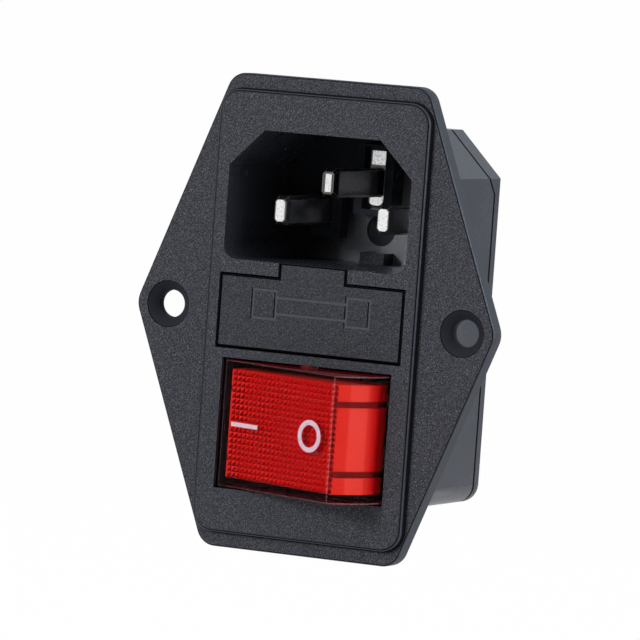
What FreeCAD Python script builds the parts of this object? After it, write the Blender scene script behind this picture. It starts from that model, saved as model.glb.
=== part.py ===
"""Panel power entry module: an appliance inlet, a fuse drawer and a lit rocker switch on one flange.

Millimetres. X is the module's width, Z points up from the switch to the inlet and Y points back
through the panel. The origin lies on the flange's rear face, midway between the two screw holes.
"""
import FreeCAD
import Part
import math
import os
import Sketcher

doc = FreeCAD.newDocument("PowerEntryModule")
sheet = doc.addObject("Spreadsheet::Sheet", "Sizes")
Vector = FreeCAD.Vector
Placement = FreeCAD.Placement
Rotation = FreeCAD.Rotation


# Sizes: a number together with the formula that ties it to the sheet

class Size:
    """A length or an angle, with the formula that gives it from the sheet's cells."""

    def __init__(self, value, formula):
        self.value = value
        self.formula = formula

    def __add__(self, other):
        other = as_size(other)
        return Size(self.value + other.value, f"({self.formula} + {other.formula})")

    def __sub__(self, other):
        other = as_size(other)
        return Size(self.value - other.value, f"({self.formula} - {other.formula})")

    def __mul__(self, other):
        other = as_size(other)
        return Size(self.value * other.value, f"({self.formula} * {other.formula})")

    def __truediv__(self, other):
        other = as_size(other)
        return Size(self.value / other.value, f"({self.formula} / {other.formula})")

    def __neg__(self):
        return Size(-self.value, f"(0 - {self.formula})")


def as_size(number):
    """Lets a plain number stand in a formula."""
    if isinstance(number, Size):
        return number
    return Size(float(number), f"({number})")


def root(size):
    return Size(math.sqrt(size.value), f"sqrt({size.formula})")


def largest(first, second):
    return Size(max(first.value, second.value), f"max({first.formula}; {second.formula})")


def sine(angle):
    return Size(math.sin(math.radians(angle.value)), f"sin({angle.formula} * 1 deg)")


def cosine(angle):
    return Size(math.cos(math.radians(angle.value)), f"cos({angle.formula} * 1 deg)")


rows_used = []


def size(alias, value, meaning):
    """Puts one driving dimension into the sheet."""
    rows_used.append(alias)
    row = len(rows_used)
    sheet.set(f"A{row}", meaning)
    sheet.set(f"B{row}", f"{value}")
    sheet.setAlias(f"B{row}", alias)
    return Size(value, f"Sizes.{alias}")


# Flange and bezel
hole_spacing = size("hole_spacing", 40.0, "between the two mounting screws")
screw_hole = size("screw_hole", 3.4, "diameter of a mounting hole")
screw_sink = size("screw_sink", 5.8, "diameter of the countersink at the front")
ear_margin = size("ear_margin", 4.45, "screw hole's middle to the tip of its ear, before it is rounded")
flange_edge = size("flange_edge", 13.2, "half the length of the top and bottom edge")
flange_margin = size("flange_margin", 1.9, "raised frame to the top or bottom edge of the flange")
flange_thickness = size("flange_thickness", 2.2, "flange plate")
flange_round = size("flange_round", 2.5, "top and bottom corners of the flange")
flange_soft = size("flange_soft", 0.2, "small chamfer round the front of the flange")
ear_round = size("ear_round", 3.0, "tips of the two ears")
bezel_aside = size("bezel_aside", 0.8, "raised frame beyond the body's sides")
bezel_above = size("bezel_above", 3.45, "raised frame above the body")
bezel_below = size("bezel_below", 4.75, "raised frame below the body")
bezel_proud = size("bezel_proud", 1.0, "raised frame in front of the flange")
bezel_round = size("bezel_round", 2.7, "corners of the raised frame")
bezel_edge = size("bezel_edge", 0.25, "small chamfer round the front of the raised frame")

# Body behind the panel
body_wall = size("body_wall", 0.8, "thinnest side wall of the body")
body_roof = size("body_roof", 1.35, "wall above the inlet's cavity")
body_sill = size("body_sill", 0.69, "wall below the switch")
body_slope = size("body_slope", 5.65, "chamfer of the body's two top corners")
body_round = size("body_round", 2.4, "radius of the body's two bottom corners")
chamber_depth = size("chamber_depth", 1.8, "room between the back walls and the rear cover")
cover_thickness = size("cover_thickness", 2.0, "rear cover plate")
cover_lip = size("cover_lip", 1.8, "how far the cover's rim reaches forward at the top")
cover_lip_fall = size("cover_lip_fall", 4.2, "cavity's upper wall down to where that rim stands full")
cover_slant = size("cover_slant", 2.1, "slanted start of that rim along Z")
cover_edge = size("cover_edge", 0.5, "chamfer round the back of the cover")
seam = size("seam", 0.1, "gap between pieces of the case that meet")

# Appliance inlet
inlet_width = size("inlet_width", 24.7, "cavity across X")
inlet_tall = size("inlet_tall", 16.0, "cavity along Z")
inlet_sill = size("inlet_sill", 1.7, "wall between the cavity and the drawer")
inlet_slope = size("inlet_slope", 4.5, "chamfer of the cavity's two top corners")
inlet_round = size("inlet_round", 1.7, "radius of the cavity's two bottom corners")
inlet_depth = size("inlet_depth", 18.6, "front of the bezel to the cavity's back wall")
back_wall = size("back_wall", 2.0, "thickness of the cavity's back wall")
pin_pitch = size("pin_pitch", 14.0, "live pin to neutral pin")
pin_height = size("pin_height", 8.2, "middle of the pin pattern above the cavity's lower wall")
earth_step = size("earth_step", 4.0, "earth pin above the other two")
pin_across = size("pin_across", 2.0, "pin along X")
pin_tall = size("pin_tall", 3.6, "pin along Z")
pin_setback = size("pin_setback", 4.0, "front of the bezel to the live and neutral tips")
earth_setback = size("earth_setback", 2.4, "front of the bezel to the earth tip")
pin_edge = size("pin_edge", 0.3, "chamfered long edges of a pin")
pin_taper = size("pin_taper", 0.9, "tapered tip of a pin along Y")
tip_share = size("tip_share", 0.76, "the flat end of a pin, as a share of its section")
pin_fit = size("pin_fit", 0.05, "gap between metal and the plastic that holds it")
boss_across = size("boss_across", 3.5, "boss round a pin along X")
boss_above = size("boss_above", 2.2, "pin's middle to the top of its boss")
boss_below = size("boss_below", 2.6, "pin's middle to the foot of its boss")
live_boss_inner = size("live_boss_inner", 2.4, "live pin's middle to the inner side of its boss")
live_boss_below = size("live_boss_below", 3.4, "live pin's middle to the foot of its boss")
boss_proud = size("boss_proud", 2.2, "boss in front of the back wall")
earth_boss_across = size("earth_boss_across", 5.2, "earth boss along X")
earth_boss_roof = size("earth_boss_roof", 0.3, "earth boss above its recess")
earth_boss_sill = size("earth_boss_sill", 0.65, "earth boss below its recess")
earth_boss_proud = size("earth_boss_proud", 3.1, "earth boss in front of the back wall")
shoulder_across = size("shoulder_across", 2.1, "earth pin's shoulder plate along X")
shoulder_above = size("shoulder_above", 2.15, "top of the earth pin to the top of its shoulder plate")
shoulder_below = size("shoulder_below", 1.15, "foot of the earth pin to the foot of its shoulder plate")
shoulder_round = size("shoulder_round", 0.8, "lower corners of the shoulder plate")
shoulder_thick = size("shoulder_thick", 0.6, "shoulder plate")
shoulder_sink = size("shoulder_sink", 0.9, "shoulder plate behind the front of its boss")
shoulder_gap = size("shoulder_gap", 0.45, "recess round the shoulder plate")
dimple_width = size("dimple_width", 3.9, "round recess low in the back wall")
dimple_height = size("dimple_height", 4.1, "round recess above the cavity's lower wall")
dimple_sink = size("dimple_sink", 0.3, "depth of the round recess")
key_across = size("key_across", 3.3, "small block on the cavity's lower wall along X")
key_aside = size("key_aside", 0.3, "middle of the small block from the cavity's middle")
key_tall = size("key_tall", 1.4, "small block along Z")
key_proud = size("key_proud", 2.8, "small block in front of the back wall")

# Rear terminals
tab_across = size("tab_across", 4.8, "width of a push-on tab")
tab_thick = size("tab_thick", 0.8, "thickness of a push-on tab")
tab_length = size("tab_length", 7.5, "tab behind the cover")
tab_taper = size("tab_taper", 0.9, "chamfered corners at a tab's end")
tab_hole = size("tab_hole", 1.4, "latching hole in a tab")
tab_hole_back = size("tab_hole_back", 3.0, "latching hole to the tab's end")
collar = size("collar", 0.7, "how far a pin's shoulder stands out behind the back wall")

# Fuse drawer
bay_room = size("bay_room", 0.65, "tray to the top and bottom of its bay")
drawer_mid = size("drawer_mid", 0.05, "middle of the drawer above the centre")
drawer_gap = size("drawer_gap", 0.22, "gap round the drawer's front")
drawer_face = size("drawer_face", 1.6, "thickness of the drawer's front")
drawer_soft = size("drawer_soft", 0.2, "small chamfer round the drawer's front")
pull_across = size("pull_across", 8.9, "finger tab of the drawer along X")
pull_thick = size("pull_thick", 1.2, "finger tab along Y")
tray_gap = size("tray_gap", 0.4, "drawer's tray to the side walls of its bay")
tray_wall = size("tray_wall", 1.5, "end walls of the tray")
tray_floor = size("tray_floor", 0.75, "floor of the tray")
saddle_wall = size("saddle_wall", 1.4, "fuse down to the underside of its tray")
tray_above = size("tray_above", 0.6, "tray's walls above the fuses")
tray_beyond = size("tray_beyond", 0.8, "tray's open end behind the working fuse")
cross_wall = size("cross_wall", 1.3, "wall between the two fuses")
fuse_length = size("fuse_length", 20.0, "cartridge fuse")
fuse_width = size("fuse_width", 5.2, "diameter of its end caps")
cap_length = size("cap_length", 5.0, "one end cap")
cap_wall = size("cap_wall", 0.2, "sheet of an end cap")
glass_gap = size("glass_gap", 0.03, "tube inside its end caps")
glass_wall = size("glass_wall", 0.5, "wall of the glass tube")
element_width = size("element_width", 0.3, "square wire of a fuse")
fuse_end_room = size("fuse_end_room", 0.7, "fuse's ends to the end walls of the tray")
work_room = size("work_room", 0.5, "in front of the working fuse")
spare_wall = size("spare_wall", 1.8, "in front of the spare fuse's room")
fuse_room = size("fuse_room", 0.3, "gap round a fuse in the tray")
saddle_across = size("saddle_across", 6.0, "snap saddle of the working fuse along X")
saddle_fit = size("saddle_fit", 0.06, "gap round the tube in its saddle")
saddle_mouth = size("saddle_mouth", 4.3, "opening of the saddle towards the top")
clip_across = size("clip_across", 4.0, "fuse clip along X")
clip_thick = size("clip_thick", 0.4, "sheet of a fuse clip")
clip_fit = size("clip_fit", 0.08, "gap between a clip's arms and the end cap")
clip_reach = size("clip_reach", 2.5, "fuse axis to the front end of the clip's arms")
clip_place = size("clip_place", 7.5, "centre to the middle of a clip along X")
clip_room = size("clip_room", 0.9, "behind a clip's sheet to the back wall of the drawer's bay")
strap_thick = size("strap_thick", 0.5, "strap from the live pin to its clip")

# Rocker switch
well_width = size("well_width", 22.94, "switch opening across X")
well_tall = size("well_tall", 16.11, "switch opening along Z")
well_sill = size("well_sill", 1.15, "wall between the drawer and the switch")
pivot_depth = size("pivot_depth", 1.6, "front of the bezel to the rocker's pivot")
rocker_radius = size("rocker_radius", 11.14, "pivot to the curved ends of the rocker")
rocker_face = size("rocker_face", 5.2, "pivot to the rocker's flat face")
rocker_skirt = size("rocker_skirt", 4.5, "pivot to the lower edge of the curved ends")
rocker_gap = size("rocker_gap", 0.25, "rocker to the side walls of its well")
rocker_tilt = size("rocker_tilt", 20.8, "tilt of the rocker each way, in degrees")
cap_shell = size("cap_shell", 0.65, "wall of the clear cap in front and at its curved ends")
cap_side = size("cap_side", 1.1, "side walls of the clear cap")
ridge_round = size("ridge_round", 0.35, "softened edges of the cap's face")
trunnion_width = size("trunnion_width", 3.0, "diameter of the pivot stubs")
trunnion_fit = size("trunnion_fit", 0.05, "gap round a pivot stub")
trunnion_reach = size("trunnion_reach", 0.5, "how far a stub reaches into the wall")
lens_gap = size("lens_gap", 0.05, "red lens inside the clear cap")
lens_relief = size("lens_relief", 0.3, "room between the cap's face and the lens")
lens_wall = size("lens_wall", 0.8, "wall of the red lens")
groove_wide = size("groove_wide", 0.8, "grooves across the end of the red lens")
groove_place = size("groove_place", 4.25, "middle of the rocker to a groove along Z")
groove_sink = size("groove_sink", 0.4, "depth of a groove")
bridge_front = size("bridge_front", 1.4, "pivot to the front of the carrier's plate")
bridge_thick = size("bridge_thick", 1.2, "carrier's plate")
pole_offset = size("pole_offset", 3.2, "middle of the switch to each pole along Z")
barrel_width = size("barrel_width", 4.0, "outer diameter of a plunger barrel")
barrel_bore = size("barrel_bore", 2.9, "bore of a plunger barrel")
barrel_top = size("barrel_top", 0.45, "barrel in front of the pivot")
barrel_roof = size("barrel_roof", 0.5, "closed end of a barrel")
barrel_reach = size("barrel_reach", 6.5, "pivot to the open end of a barrel")
plunger_width = size("plunger_width", 2.8, "plunger in its barrel")
plunger_start = size("plunger_start", 3.4, "pivot to the plunger's inner end")
plunger_step = size("plunger_step", 6.9, "pivot to the plunger's shoulder")
plunger_tip = size("plunger_tip", 1.0, "radius of the plunger's nose")
plunger_reach = size("plunger_reach", 9.0, "pivot to the end of the plunger's nose")
plunger_travel = size("plunger_travel", 0.5, "how far a plunger is pressed in")
spring_wire = size("spring_wire", 0.35, "square wire of a plunger spring")
spring_width = size("spring_width", 2.5, "plunger spring over its coils")
spring_turns = size("spring_turns", 2.5, "turns of a plunger spring")
lamp_width = size("lamp_width", 3.6, "diameter of the glow lamp")
lamp_length = size("lamp_length", 8.0, "glow lamp along Z")
lamp_taper = size("lamp_taper", 0.9, "chamfered upper end of the glow lamp")
lamp_place = size("lamp_place", 5.0, "pivot to the lamp's axis along X")
lamp_front = size("lamp_front", 0.7, "pivot to the lamp's axis towards the front")
resistor_width = size("resistor_width", 2.2, "diameter of the lamp's resistor")
resistor_length = size("resistor_length", 6.0, "resistor along Z")
resistor_low = size("resistor_low", 3.4, "middle of the switch down to the resistor's lower end")
rest_half = size("rest_half", 0.8, "half the width of the resistor's rest")
lead_wire = size("lead_wire", 0.3, "square wire of the lamp's leads")
lead_bend = size("lead_bend", 0.9, "how far a lead runs on before it turns")
lead_side = size("lead_side", 2.8, "pivot to the long lead along X")

# Contacts under the rocker
blade_tilt = size("blade_tilt", 8.0, "tilt of a contact blade each way, in degrees")
blade_thick = size("blade_thick", 0.7, "contact blade")
blade_across = size("blade_across", 3.3, "contact blade along Z")
blade_half = size("blade_half", 6.2, "fulcrum to the end of the blade")
blade_slide = size("blade_slide", 0.08, "gap between a plunger's nose and the blade")
blade_rock = size("blade_rock", 0.05, "gap between the blade and its fulcrum")
trough_half = size("trough_half", 3.6, "half the width of the blade's trough")
rivet_width = size("rivet_width", 2.0, "contact rivet")
rivet_tall = size("rivet_tall", 0.5, "height of a contact rivet")
rivet_place = size("rivet_place", 5.1, "fulcrum to a contact rivet")
rivet_gap = size("rivet_gap", 0.2, "closed contacts, at the middle of the rivets")
post_thick = size("post_thick", 0.8, "sheet of the switch terminals")
post_across = size("post_across", 4.6, "horned fulcrum along Z")
rocking_share = size("rocking_share", 0.9, "how much of the fulcrum's edge is rounded")
horn_height = size("horn_height", 1.6, "horns in front of the fulcrum")
horn_gap = size("horn_gap", 0.1, "blade between the horns")
end_post = size("end_post", 7.2, "middle to the fixed contact's tab along X")
barrier_thick = size("barrier_thick", 1.0, "barrier between the poles")
barrier_front = size("barrier_front", 10.5, "flange's rear face to the barrier's front edge")

# Places worked out from the sizes: the drawer and its bay
front = -(flange_thickness + bezel_proud)
fuse_half = fuse_width / 2
face_back = front + drawer_face
spare_back = face_back + spare_wall + fuse_room + fuse_half
work_front = spare_back + fuse_half + fuse_room + cross_wall
fuse_back = work_front + work_room + fuse_half
tray_back = fuse_back + fuse_half + tray_beyond
tray_low = drawer_mid - saddle_wall - fuse_half
tray_top = drawer_mid + fuse_half + tray_above
room_half = fuse_length / 2 + fuse_end_room
tray_half = room_half + tray_wall
bay_half = tray_half + tray_gap
bay_rise = fuse_half + saddle_wall + bay_room
bay_low, bay_top = drawer_mid - bay_rise, drawer_mid + bay_rise

# The inlet above it and the switch below
inlet_half = inlet_width / 2
inlet_floor = bay_top + inlet_sill
inlet_top = inlet_floor + inlet_tall
live_z = inlet_floor + pin_height - earth_step / 2
earth_z = live_z + earth_step
well_half = well_width / 2
well_top = bay_low - well_sill
well_low = well_top - well_tall
switch_mid = well_low + well_tall / 2

# The case round them
body_half = largest(largest(bay_half, inlet_half), well_half) + body_wall
body_top = inlet_top + body_roof
body_low = well_low - body_sill
bezel_half = body_half + bezel_aside
bezel_top = body_top + bezel_above
bezel_low = body_low - bezel_below
flange_reach = hole_spacing / 2 + ear_margin
flange_rise = largest(bezel_top, -bezel_low) + flange_margin
clip_base = tray_back + fuse_room
wall_face = front + inlet_depth
wall_rear = wall_face + back_wall
bay_face = clip_base + clip_thick + clip_room
bay_rear = bay_face + back_wall
case_rear = largest(wall_rear, bay_rear)
body_end = case_rear + chamber_depth
body_depth = body_end + cover_thickness
cover_lip_start = inlet_top - cover_lip_fall
tab_end = body_depth + tab_length

# The moving pieces
pivot_y = front + pivot_depth
fulcrum_y = pivot_y + plunger_reach + blade_slide + blade_thick
clip_inner = fuse_half + clip_fit
clip_outer = clip_inner + clip_thick
foot_front = body_end - post_thick
strap_front = case_rear + collar + seam


# Drawing helpers

NEAR = 0.02
LEVEL = 1e-4
PLANES = {"X": ("YZ_Plane", 1), "Y": ("XZ_Plane", -1), "Z": ("XY_Plane", 1)}


def new_body(name, placement=None):
    """Starts one piece; its label names its file."""
    body = doc.addObject("PartDesign::Body", name)
    body.Label = name
    if placement:
        body.setExpression("Placement", placement)
    return body


def new_sketch(body, name, axis, start):
    """Attaches a sketch to the body's own plane across an axis, at a place along that axis."""
    role, sign = PLANES[axis]
    plane = [feature for feature in body.Origin.OriginFeatures if feature.Role == role][0]
    sketch = body.newObject("Sketcher::SketchObject", name)
    sketch.AttachmentSupport = [(plane, "")]
    sketch.MapMode = "FlatFace"
    offset = start if sign > 0 else -start
    sketch.AttachmentOffset = Placement(Vector(0, 0, offset.value), Rotation())
    sketch.setExpression(".AttachmentOffset.Base.z", offset.formula)
    return sketch


def tie(sketch, kind, geometry, point, length):
    """Ties one point of the sketch, or one radius, to the sheet."""
    if kind == "Radius":
        index = sketch.addConstraint(Sketcher.Constraint(kind, geometry, length.value))
    else:
        index = sketch.addConstraint(Sketcher.Constraint(kind, -1, 1, geometry, point, length.value))
    sketch.setExpression(f"Constraints[{index}]", length.formula)


def draw_outline(sketch, points):
    """Draws a closed outline of straight edges with every corner tied to the sheet."""
    corners = [(as_size(across), as_size(along)) for across, along in points]
    spots = [Vector(across.value, along.value, 0) for across, along in corners]
    lines = [sketch.addGeometry(Part.LineSegment(spot, spots[(i + 1) % len(spots)]))
             for i, spot in enumerate(spots)]
    for i, line in enumerate(lines):
        sketch.addConstraint(Sketcher.Constraint("Coincident", line, 2, lines[(i + 1) % len(lines)], 1))
    for line, (across, along) in zip(lines, corners):
        tie(sketch, "DistanceX", line, 1, across)
        tie(sketch, "DistanceY", line, 1, along)


def draw_circle(sketch, across, along, radius):
    """Draws a circle tied to the sheet."""
    across, along = as_size(across), as_size(along)
    middle = Vector(across.value, along.value, 0)
    circle = sketch.addGeometry(Part.Circle(middle, Vector(0, 0, 1), radius.value))
    tie(sketch, "DistanceX", circle, 3, across)
    tie(sketch, "DistanceY", circle, 3, along)
    tie(sketch, "Radius", circle, 0, radius)


def bevelled_points(middle, height, half, rise, edge):
    """Corners of a rectangle about a middle, with its four corners cut off."""
    left, right, low, high = middle - half, middle + half, height - rise, height + rise
    return [(left + edge, low), (right - edge, low), (right, low + edge), (right, high - edge),
            (right - edge, high), (left + edge, high), (left, high - edge), (left, low + edge)]


def box_points(half, low, high):
    """Corners of a rectangle centred across."""
    return [(-half, low), (half, low), (half, high), (-half, high)]


def block_points(left, right, low, high):
    """Corners of any rectangle."""
    return [(left, low), (right, low), (right, high), (left, high)]


def hooded_points(half, low, high, slope):
    """Corners of a rectangle whose two top corners are cut off."""
    return [(-half, low), (half, low), (half, high - slope), (half - slope, high),
            (slope - half, high), (-half, high - slope)]


def volume_of(body):
    return body.Tip.Shape.Volume if body.Tip and not body.Tip.Shape.isNull() else 0.0


def run(body, name, axis, start, end, draw, cut=False):
    """Extrudes what draw puts in a sketch from start to end along an axis, adding or cutting it."""
    before = volume_of(body)
    sketch = new_sketch(body, name + "Sketch", axis, start)
    draw(sketch)
    forward = PLANES[axis][1] > 0
    feature = body.newObject("PartDesign::Pocket" if cut else "PartDesign::Pad", name)
    feature.Profile = sketch
    feature.Reversed = forward if cut else not forward
    length = end - start
    feature.Length = length.value
    feature.setExpression("Length", length.formula)
    doc.recompute()
    after = volume_of(body)
    if (cut and after >= before) or (not cut and after <= before):
        raise RuntimeError(f"{body.Label}: {name} changed nothing")
    return feature


def add(body, name, axis, start, end, points):
    return run(body, name, axis, start, end, lambda sketch: draw_outline(sketch, points))


def cut(body, name, axis, start, end, points):
    return run(body, name, axis, start, end, lambda sketch: draw_outline(sketch, points), True)


def edges_along(body, axis, places):
    """Names the straight edges that run along an axis through any of the given places."""
    unit = {"X": Vector(1, 0, 0), "Y": Vector(0, 1, 0), "Z": Vector(0, 0, 1)}[axis]
    spots = []
    for across, along in places:
        across, along = as_size(across).value, as_size(along).value
        spots.append({"X": (0, across, along), "Y": (across, 0, along), "Z": (across, along, 0)}[axis])
    names = []
    for index, edge in enumerate(body.Tip.Shape.Edges):
        if edge.Curve.TypeId != "Part::GeomLine":
            continue
        if edge.tangentAt(edge.FirstParameter).cross(unit).Length > LEVEL:
            continue
        middle = edge.CenterOfMass
        flat = middle - unit * middle.dot(unit)
        if any((flat - Vector(*spot)).Length < NEAR for spot in spots):
            names.append(f"Edge{index + 1}")
    return names


def edges_at(body, axis, place):
    """Names the edges that lie wholly in the plane across an axis at a place."""
    index_of = "XYZ".index(axis)
    level = as_size(place).value
    names = []
    for index, edge in enumerate(body.Tip.Shape.Edges):
        points = [edge.valueAt(edge.FirstParameter), edge.valueAt(edge.LastParameter), edge.CenterOfMass]
        if all(abs(point[index_of] - level) < LEVEL for point in points):
            names.append(f"Edge{index + 1}")
    return names


def soften(body, name, names, length, chamfer=False):
    """Rounds or chamfers the named edges of the body as it stands."""
    if not names:
        raise RuntimeError(f"{body.Label}: {name} found no edge")
    base = body.Tip
    feature = body.newObject("PartDesign::Chamfer" if chamfer else "PartDesign::Fillet", name)
    feature.Base = (base, names)
    field = "Size" if chamfer else "Radius"
    setattr(feature, field, length.value)
    feature.setExpression(field, length.formula)
    doc.recompute()
    return feature


def both(value, other):
    """The two mirror places at plus and minus a distance across."""
    return [(-value, other), (value, other)]


# Case: the housing moulding

housing = new_body("housing")


def outside_bezel(edge):
    """Tells the flange's outer edges from those where the raised frame stands on it."""
    middle = edge.valueAt((edge.FirstParameter + edge.LastParameter) / 2)
    beyond_side = abs(middle.x) > bezel_half.value + NEAR
    return beyond_side or not bezel_low.value - NEAR < middle.z < bezel_top.value + NEAR


add(housing, "BezelPlate", "Y", front, as_size(0), box_points(bezel_half, bezel_low, bezel_top))
bezel_corners = both(bezel_half, bezel_low) + both(bezel_half, bezel_top)
soften(housing, "BezelCorners", edges_along(housing, "Y", bezel_corners), bezel_round)
soften(housing, "BezelFrontEdge", edges_at(housing, "Y", front), bezel_edge, True)
flange_points = [(-flange_reach, 0), (-flange_edge, -flange_rise), (flange_edge, -flange_rise),
                 (flange_reach, 0), (flange_edge, flange_rise), (-flange_edge, flange_rise)]
add(housing, "FlangePlate", "Y", -flange_thickness, as_size(0), flange_points)
soften(housing, "EarTips", edges_along(housing, "Y", both(flange_reach, 0)), ear_round)
flange_corners = both(flange_edge, -flange_rise) + both(flange_edge, flange_rise)
soften(housing, "FlangeCorners", edges_along(housing, "Y", flange_corners), flange_round)
outer_edges = [name for name in edges_at(housing, "Y", -flange_thickness)
               if outside_bezel(housing.Tip.Shape.getElement(name))]
soften(housing, "FlangeFrontEdge", outer_edges, flange_soft, True)

add(housing, "BodyShell", "Y", as_size(0), body_end,
    hooded_points(body_half, body_low, body_top, body_slope))
soften(housing, "BodyBottomCorners", edges_along(housing, "Y", both(body_half, body_low)), body_round)
lip_front, lip_low = body_end - cover_lip, cover_lip_start - cover_slant
cut(housing, "TopStep", "X", -bezel_half, bezel_half,
    [(lip_front, body_top + seam), (lip_front, cover_lip_start), (body_end, lip_low),
     (body_end + seam, lip_low), (body_end + seam, body_top + seam)])

inlet_points = hooded_points(inlet_half, inlet_floor, inlet_top, inlet_slope)
cut(housing, "InletCavity", "Y", front, wall_face, inlet_points)
soften(housing, "InletBottomCorners", edges_along(housing, "Y", both(inlet_half, inlet_floor)), inlet_round)
cut(housing, "DrawerBay", "Y", front, bay_face, box_points(bay_half, bay_low, bay_top))
pull_half = pull_across / 2 + drawer_gap
cut(housing, "PullNotch", "Y", front, front + pull_thick + drawer_gap,
    box_points(pull_half, bay_rise, inlet_floor + seam))
cut(housing, "SwitchWell", "Y", front, body_end + seam, box_points(well_half, well_low, well_top))
between = (bay_top + inlet_floor) / 2
cut(housing, "InletChamber", "Y", wall_rear, body_end + seam,
    hooded_points(inlet_half, between, inlet_top, inlet_slope))
cut(housing, "BayChamber", "Y", bay_rear, body_end + seam, box_points(inlet_half, bay_low, between))

# Details of the inlet's back wall
boss_half = boss_across / 2
neutral_x, live_x = pin_pitch / 2, -pin_pitch / 2
add(housing, "LiveBoss", "Y", wall_face - boss_proud, wall_face,
    block_points(live_x - boss_half, live_x + live_boss_inner,
                 live_z - live_boss_below, live_z + boss_above))
add(housing, "NeutralBoss", "Y", wall_face - boss_proud, wall_face,
    block_points(neutral_x - boss_half, neutral_x + boss_half,
                 live_z - boss_below, live_z + boss_above))
plate_top = earth_z + pin_tall / 2 + shoulder_above
plate_low = earth_z - pin_tall / 2 - shoulder_below
recess_top, recess_low = plate_top + shoulder_gap, plate_low - shoulder_gap
add(housing, "EarthBoss", "Y", wall_face - earth_boss_proud, wall_face,
    box_points(earth_boss_across / 2, recess_low - earth_boss_sill, recess_top + earth_boss_roof))
shoulder_face = wall_face - earth_boss_proud + shoulder_sink
cut(housing, "EarthRecess", "Y", wall_face - earth_boss_proud, shoulder_face + shoulder_thick,
    box_points(shoulder_across / 2 + shoulder_gap, recess_low, recess_top))
run(housing, "Dimple", "Y", wall_face, wall_face + dimple_sink,
    lambda sketch: draw_circle(sketch, 0, inlet_floor + dimple_height, dimple_width / 2), True)
key_left, key_right = key_aside - key_across / 2, key_aside + key_across / 2
add(housing, "KeyBlock", "Y", wall_face - key_proud, wall_face,
    block_points(key_left, key_right, inlet_floor, inlet_floor + key_tall))


def slot_through_wall(name, middle, height, across, start, end):
    """Cuts a slot through a back wall for a metal piece of the given width."""
    half, rise = across / 2 + pin_fit, pin_tall / 2 + pin_fit
    cut(housing, name, "Y", start, end,
        block_points(middle - half, middle + half, height - rise, height + rise))


for middle, name in ((live_x, "LiveSlot"), (neutral_x, "NeutralSlot")):
    slot_through_wall(name, middle, live_z, pin_across, wall_face - boss_proud, wall_rear)
slot_through_wall("EarthSlot", as_size(0), earth_z, pin_across, shoulder_face, wall_rear)
for side, name in ((-1, "InletClipSlot"), (1, "OutletClipSlot")):
    slot_through_wall(name, clip_place * side, drawer_mid, tab_thick, bay_face, bay_rear)

# Pivot holes of the rocker, and the screw holes
pivot_reach = trunnion_reach + seam
run(housing, "PivotHoles", "Z", well_low - pivot_reach, well_top + pivot_reach,
    lambda sketch: draw_circle(sketch, 0, pivot_y, trunnion_width / 2 + trunnion_fit), True)


def draw_screw_holes(sketch):
    for side in (-1, 1):
        draw_circle(sketch, hole_spacing / 2 * side, 0, screw_hole / 2)


run(housing, "ScrewHoles", "Y", -flange_thickness, as_size(0), draw_screw_holes, True)


def round_a_screw(edge):
    """Tells whether an edge's middle lies as far across as a screw hole."""
    return abs(abs(edge.CenterOfMass.x) - hole_spacing.value / 2) < NEAR


sink_edges = [name for name in edges_at(housing, "Y", -flange_thickness)
              if round_a_screw(housing.Tip.Shape.getElement(name))]
soften(housing, "Countersinks", sink_edges, (screw_sink - screw_hole) / 2, True)

# Case: the rear cover

rear_cover = new_body("rear_cover")
add(rear_cover, "CoverPlate", "Y", body_end, body_depth,
    hooded_points(body_half, body_low, body_top, body_slope))
cover_corners = edges_along(rear_cover, "Y", both(body_half, body_low))
soften(rear_cover, "CoverBottomCorners", cover_corners, body_round)
soften(rear_cover, "CoverRearEdge", edges_at(rear_cover, "Y", body_depth), cover_edge, True)
rim_front, rim_full, rim_low = lip_front + seam, cover_lip_start + seam, lip_low + seam
add(rear_cover, "TopRim", "Y", rim_front, body_end, hooded_points(body_half, rim_low, body_top, body_slope))
cut(rear_cover, "RimSlant", "X", -bezel_half, bezel_half,
    [(lip_front, rim_full), (rim_front, rim_full), (body_end, rim_low), (body_end, rim_low - seam),
     (lip_front, rim_low - seam)])
cut(rear_cover, "RimInside", "Y", lip_front, body_end,
    hooded_points(inlet_half, rim_low - seam, inlet_top, inlet_slope))
add(rear_cover, "PoleBarrier", "Y", barrier_front, body_end,
    box_points(well_half - rocker_gap, switch_mid - barrier_thick / 2, switch_mid + barrier_thick / 2))


def slot_through_cover(name, middle, height, across, tall):
    """Cuts a tab's slot through the rear cover."""
    half, rise = across / 2 + pin_fit, tall / 2 + pin_fit
    cut(rear_cover, name, "Y", body_end, body_depth,
        block_points(middle - half, middle + half, height - rise, height + rise))


POLES = (("live", 1), ("neutral", -1))
slot_through_cover("EarthTabSlot", as_size(0), earth_z, tab_thick, tab_across)
slot_through_cover("NeutralTabSlot", neutral_x, live_z, tab_thick, tab_across)
slot_through_cover("FusedTabSlot", clip_place, drawer_mid, tab_thick, tab_across)
for pole, side in POLES:
    pole_z = switch_mid + pole_offset * side
    slot_through_cover(f"{pole.title()}OutSlot", as_size(0), pole_z, tab_across, tab_thick)
    slot_through_cover(f"{pole.title()}InSlot", end_post, pole_z, tab_across, tab_thick)


# Inlet pins

def tab_outline(middle, start):
    """Side view of a tab with two chamfered corners at its end, along Y and across."""
    half = tab_across / 2
    return [(start, middle - half), (tab_end - tab_taper, middle - half),
            (tab_end, middle - half + tab_taper), (tab_end, middle + half - tab_taper),
            (tab_end - tab_taper, middle + half), (start, middle + half)]


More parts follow.
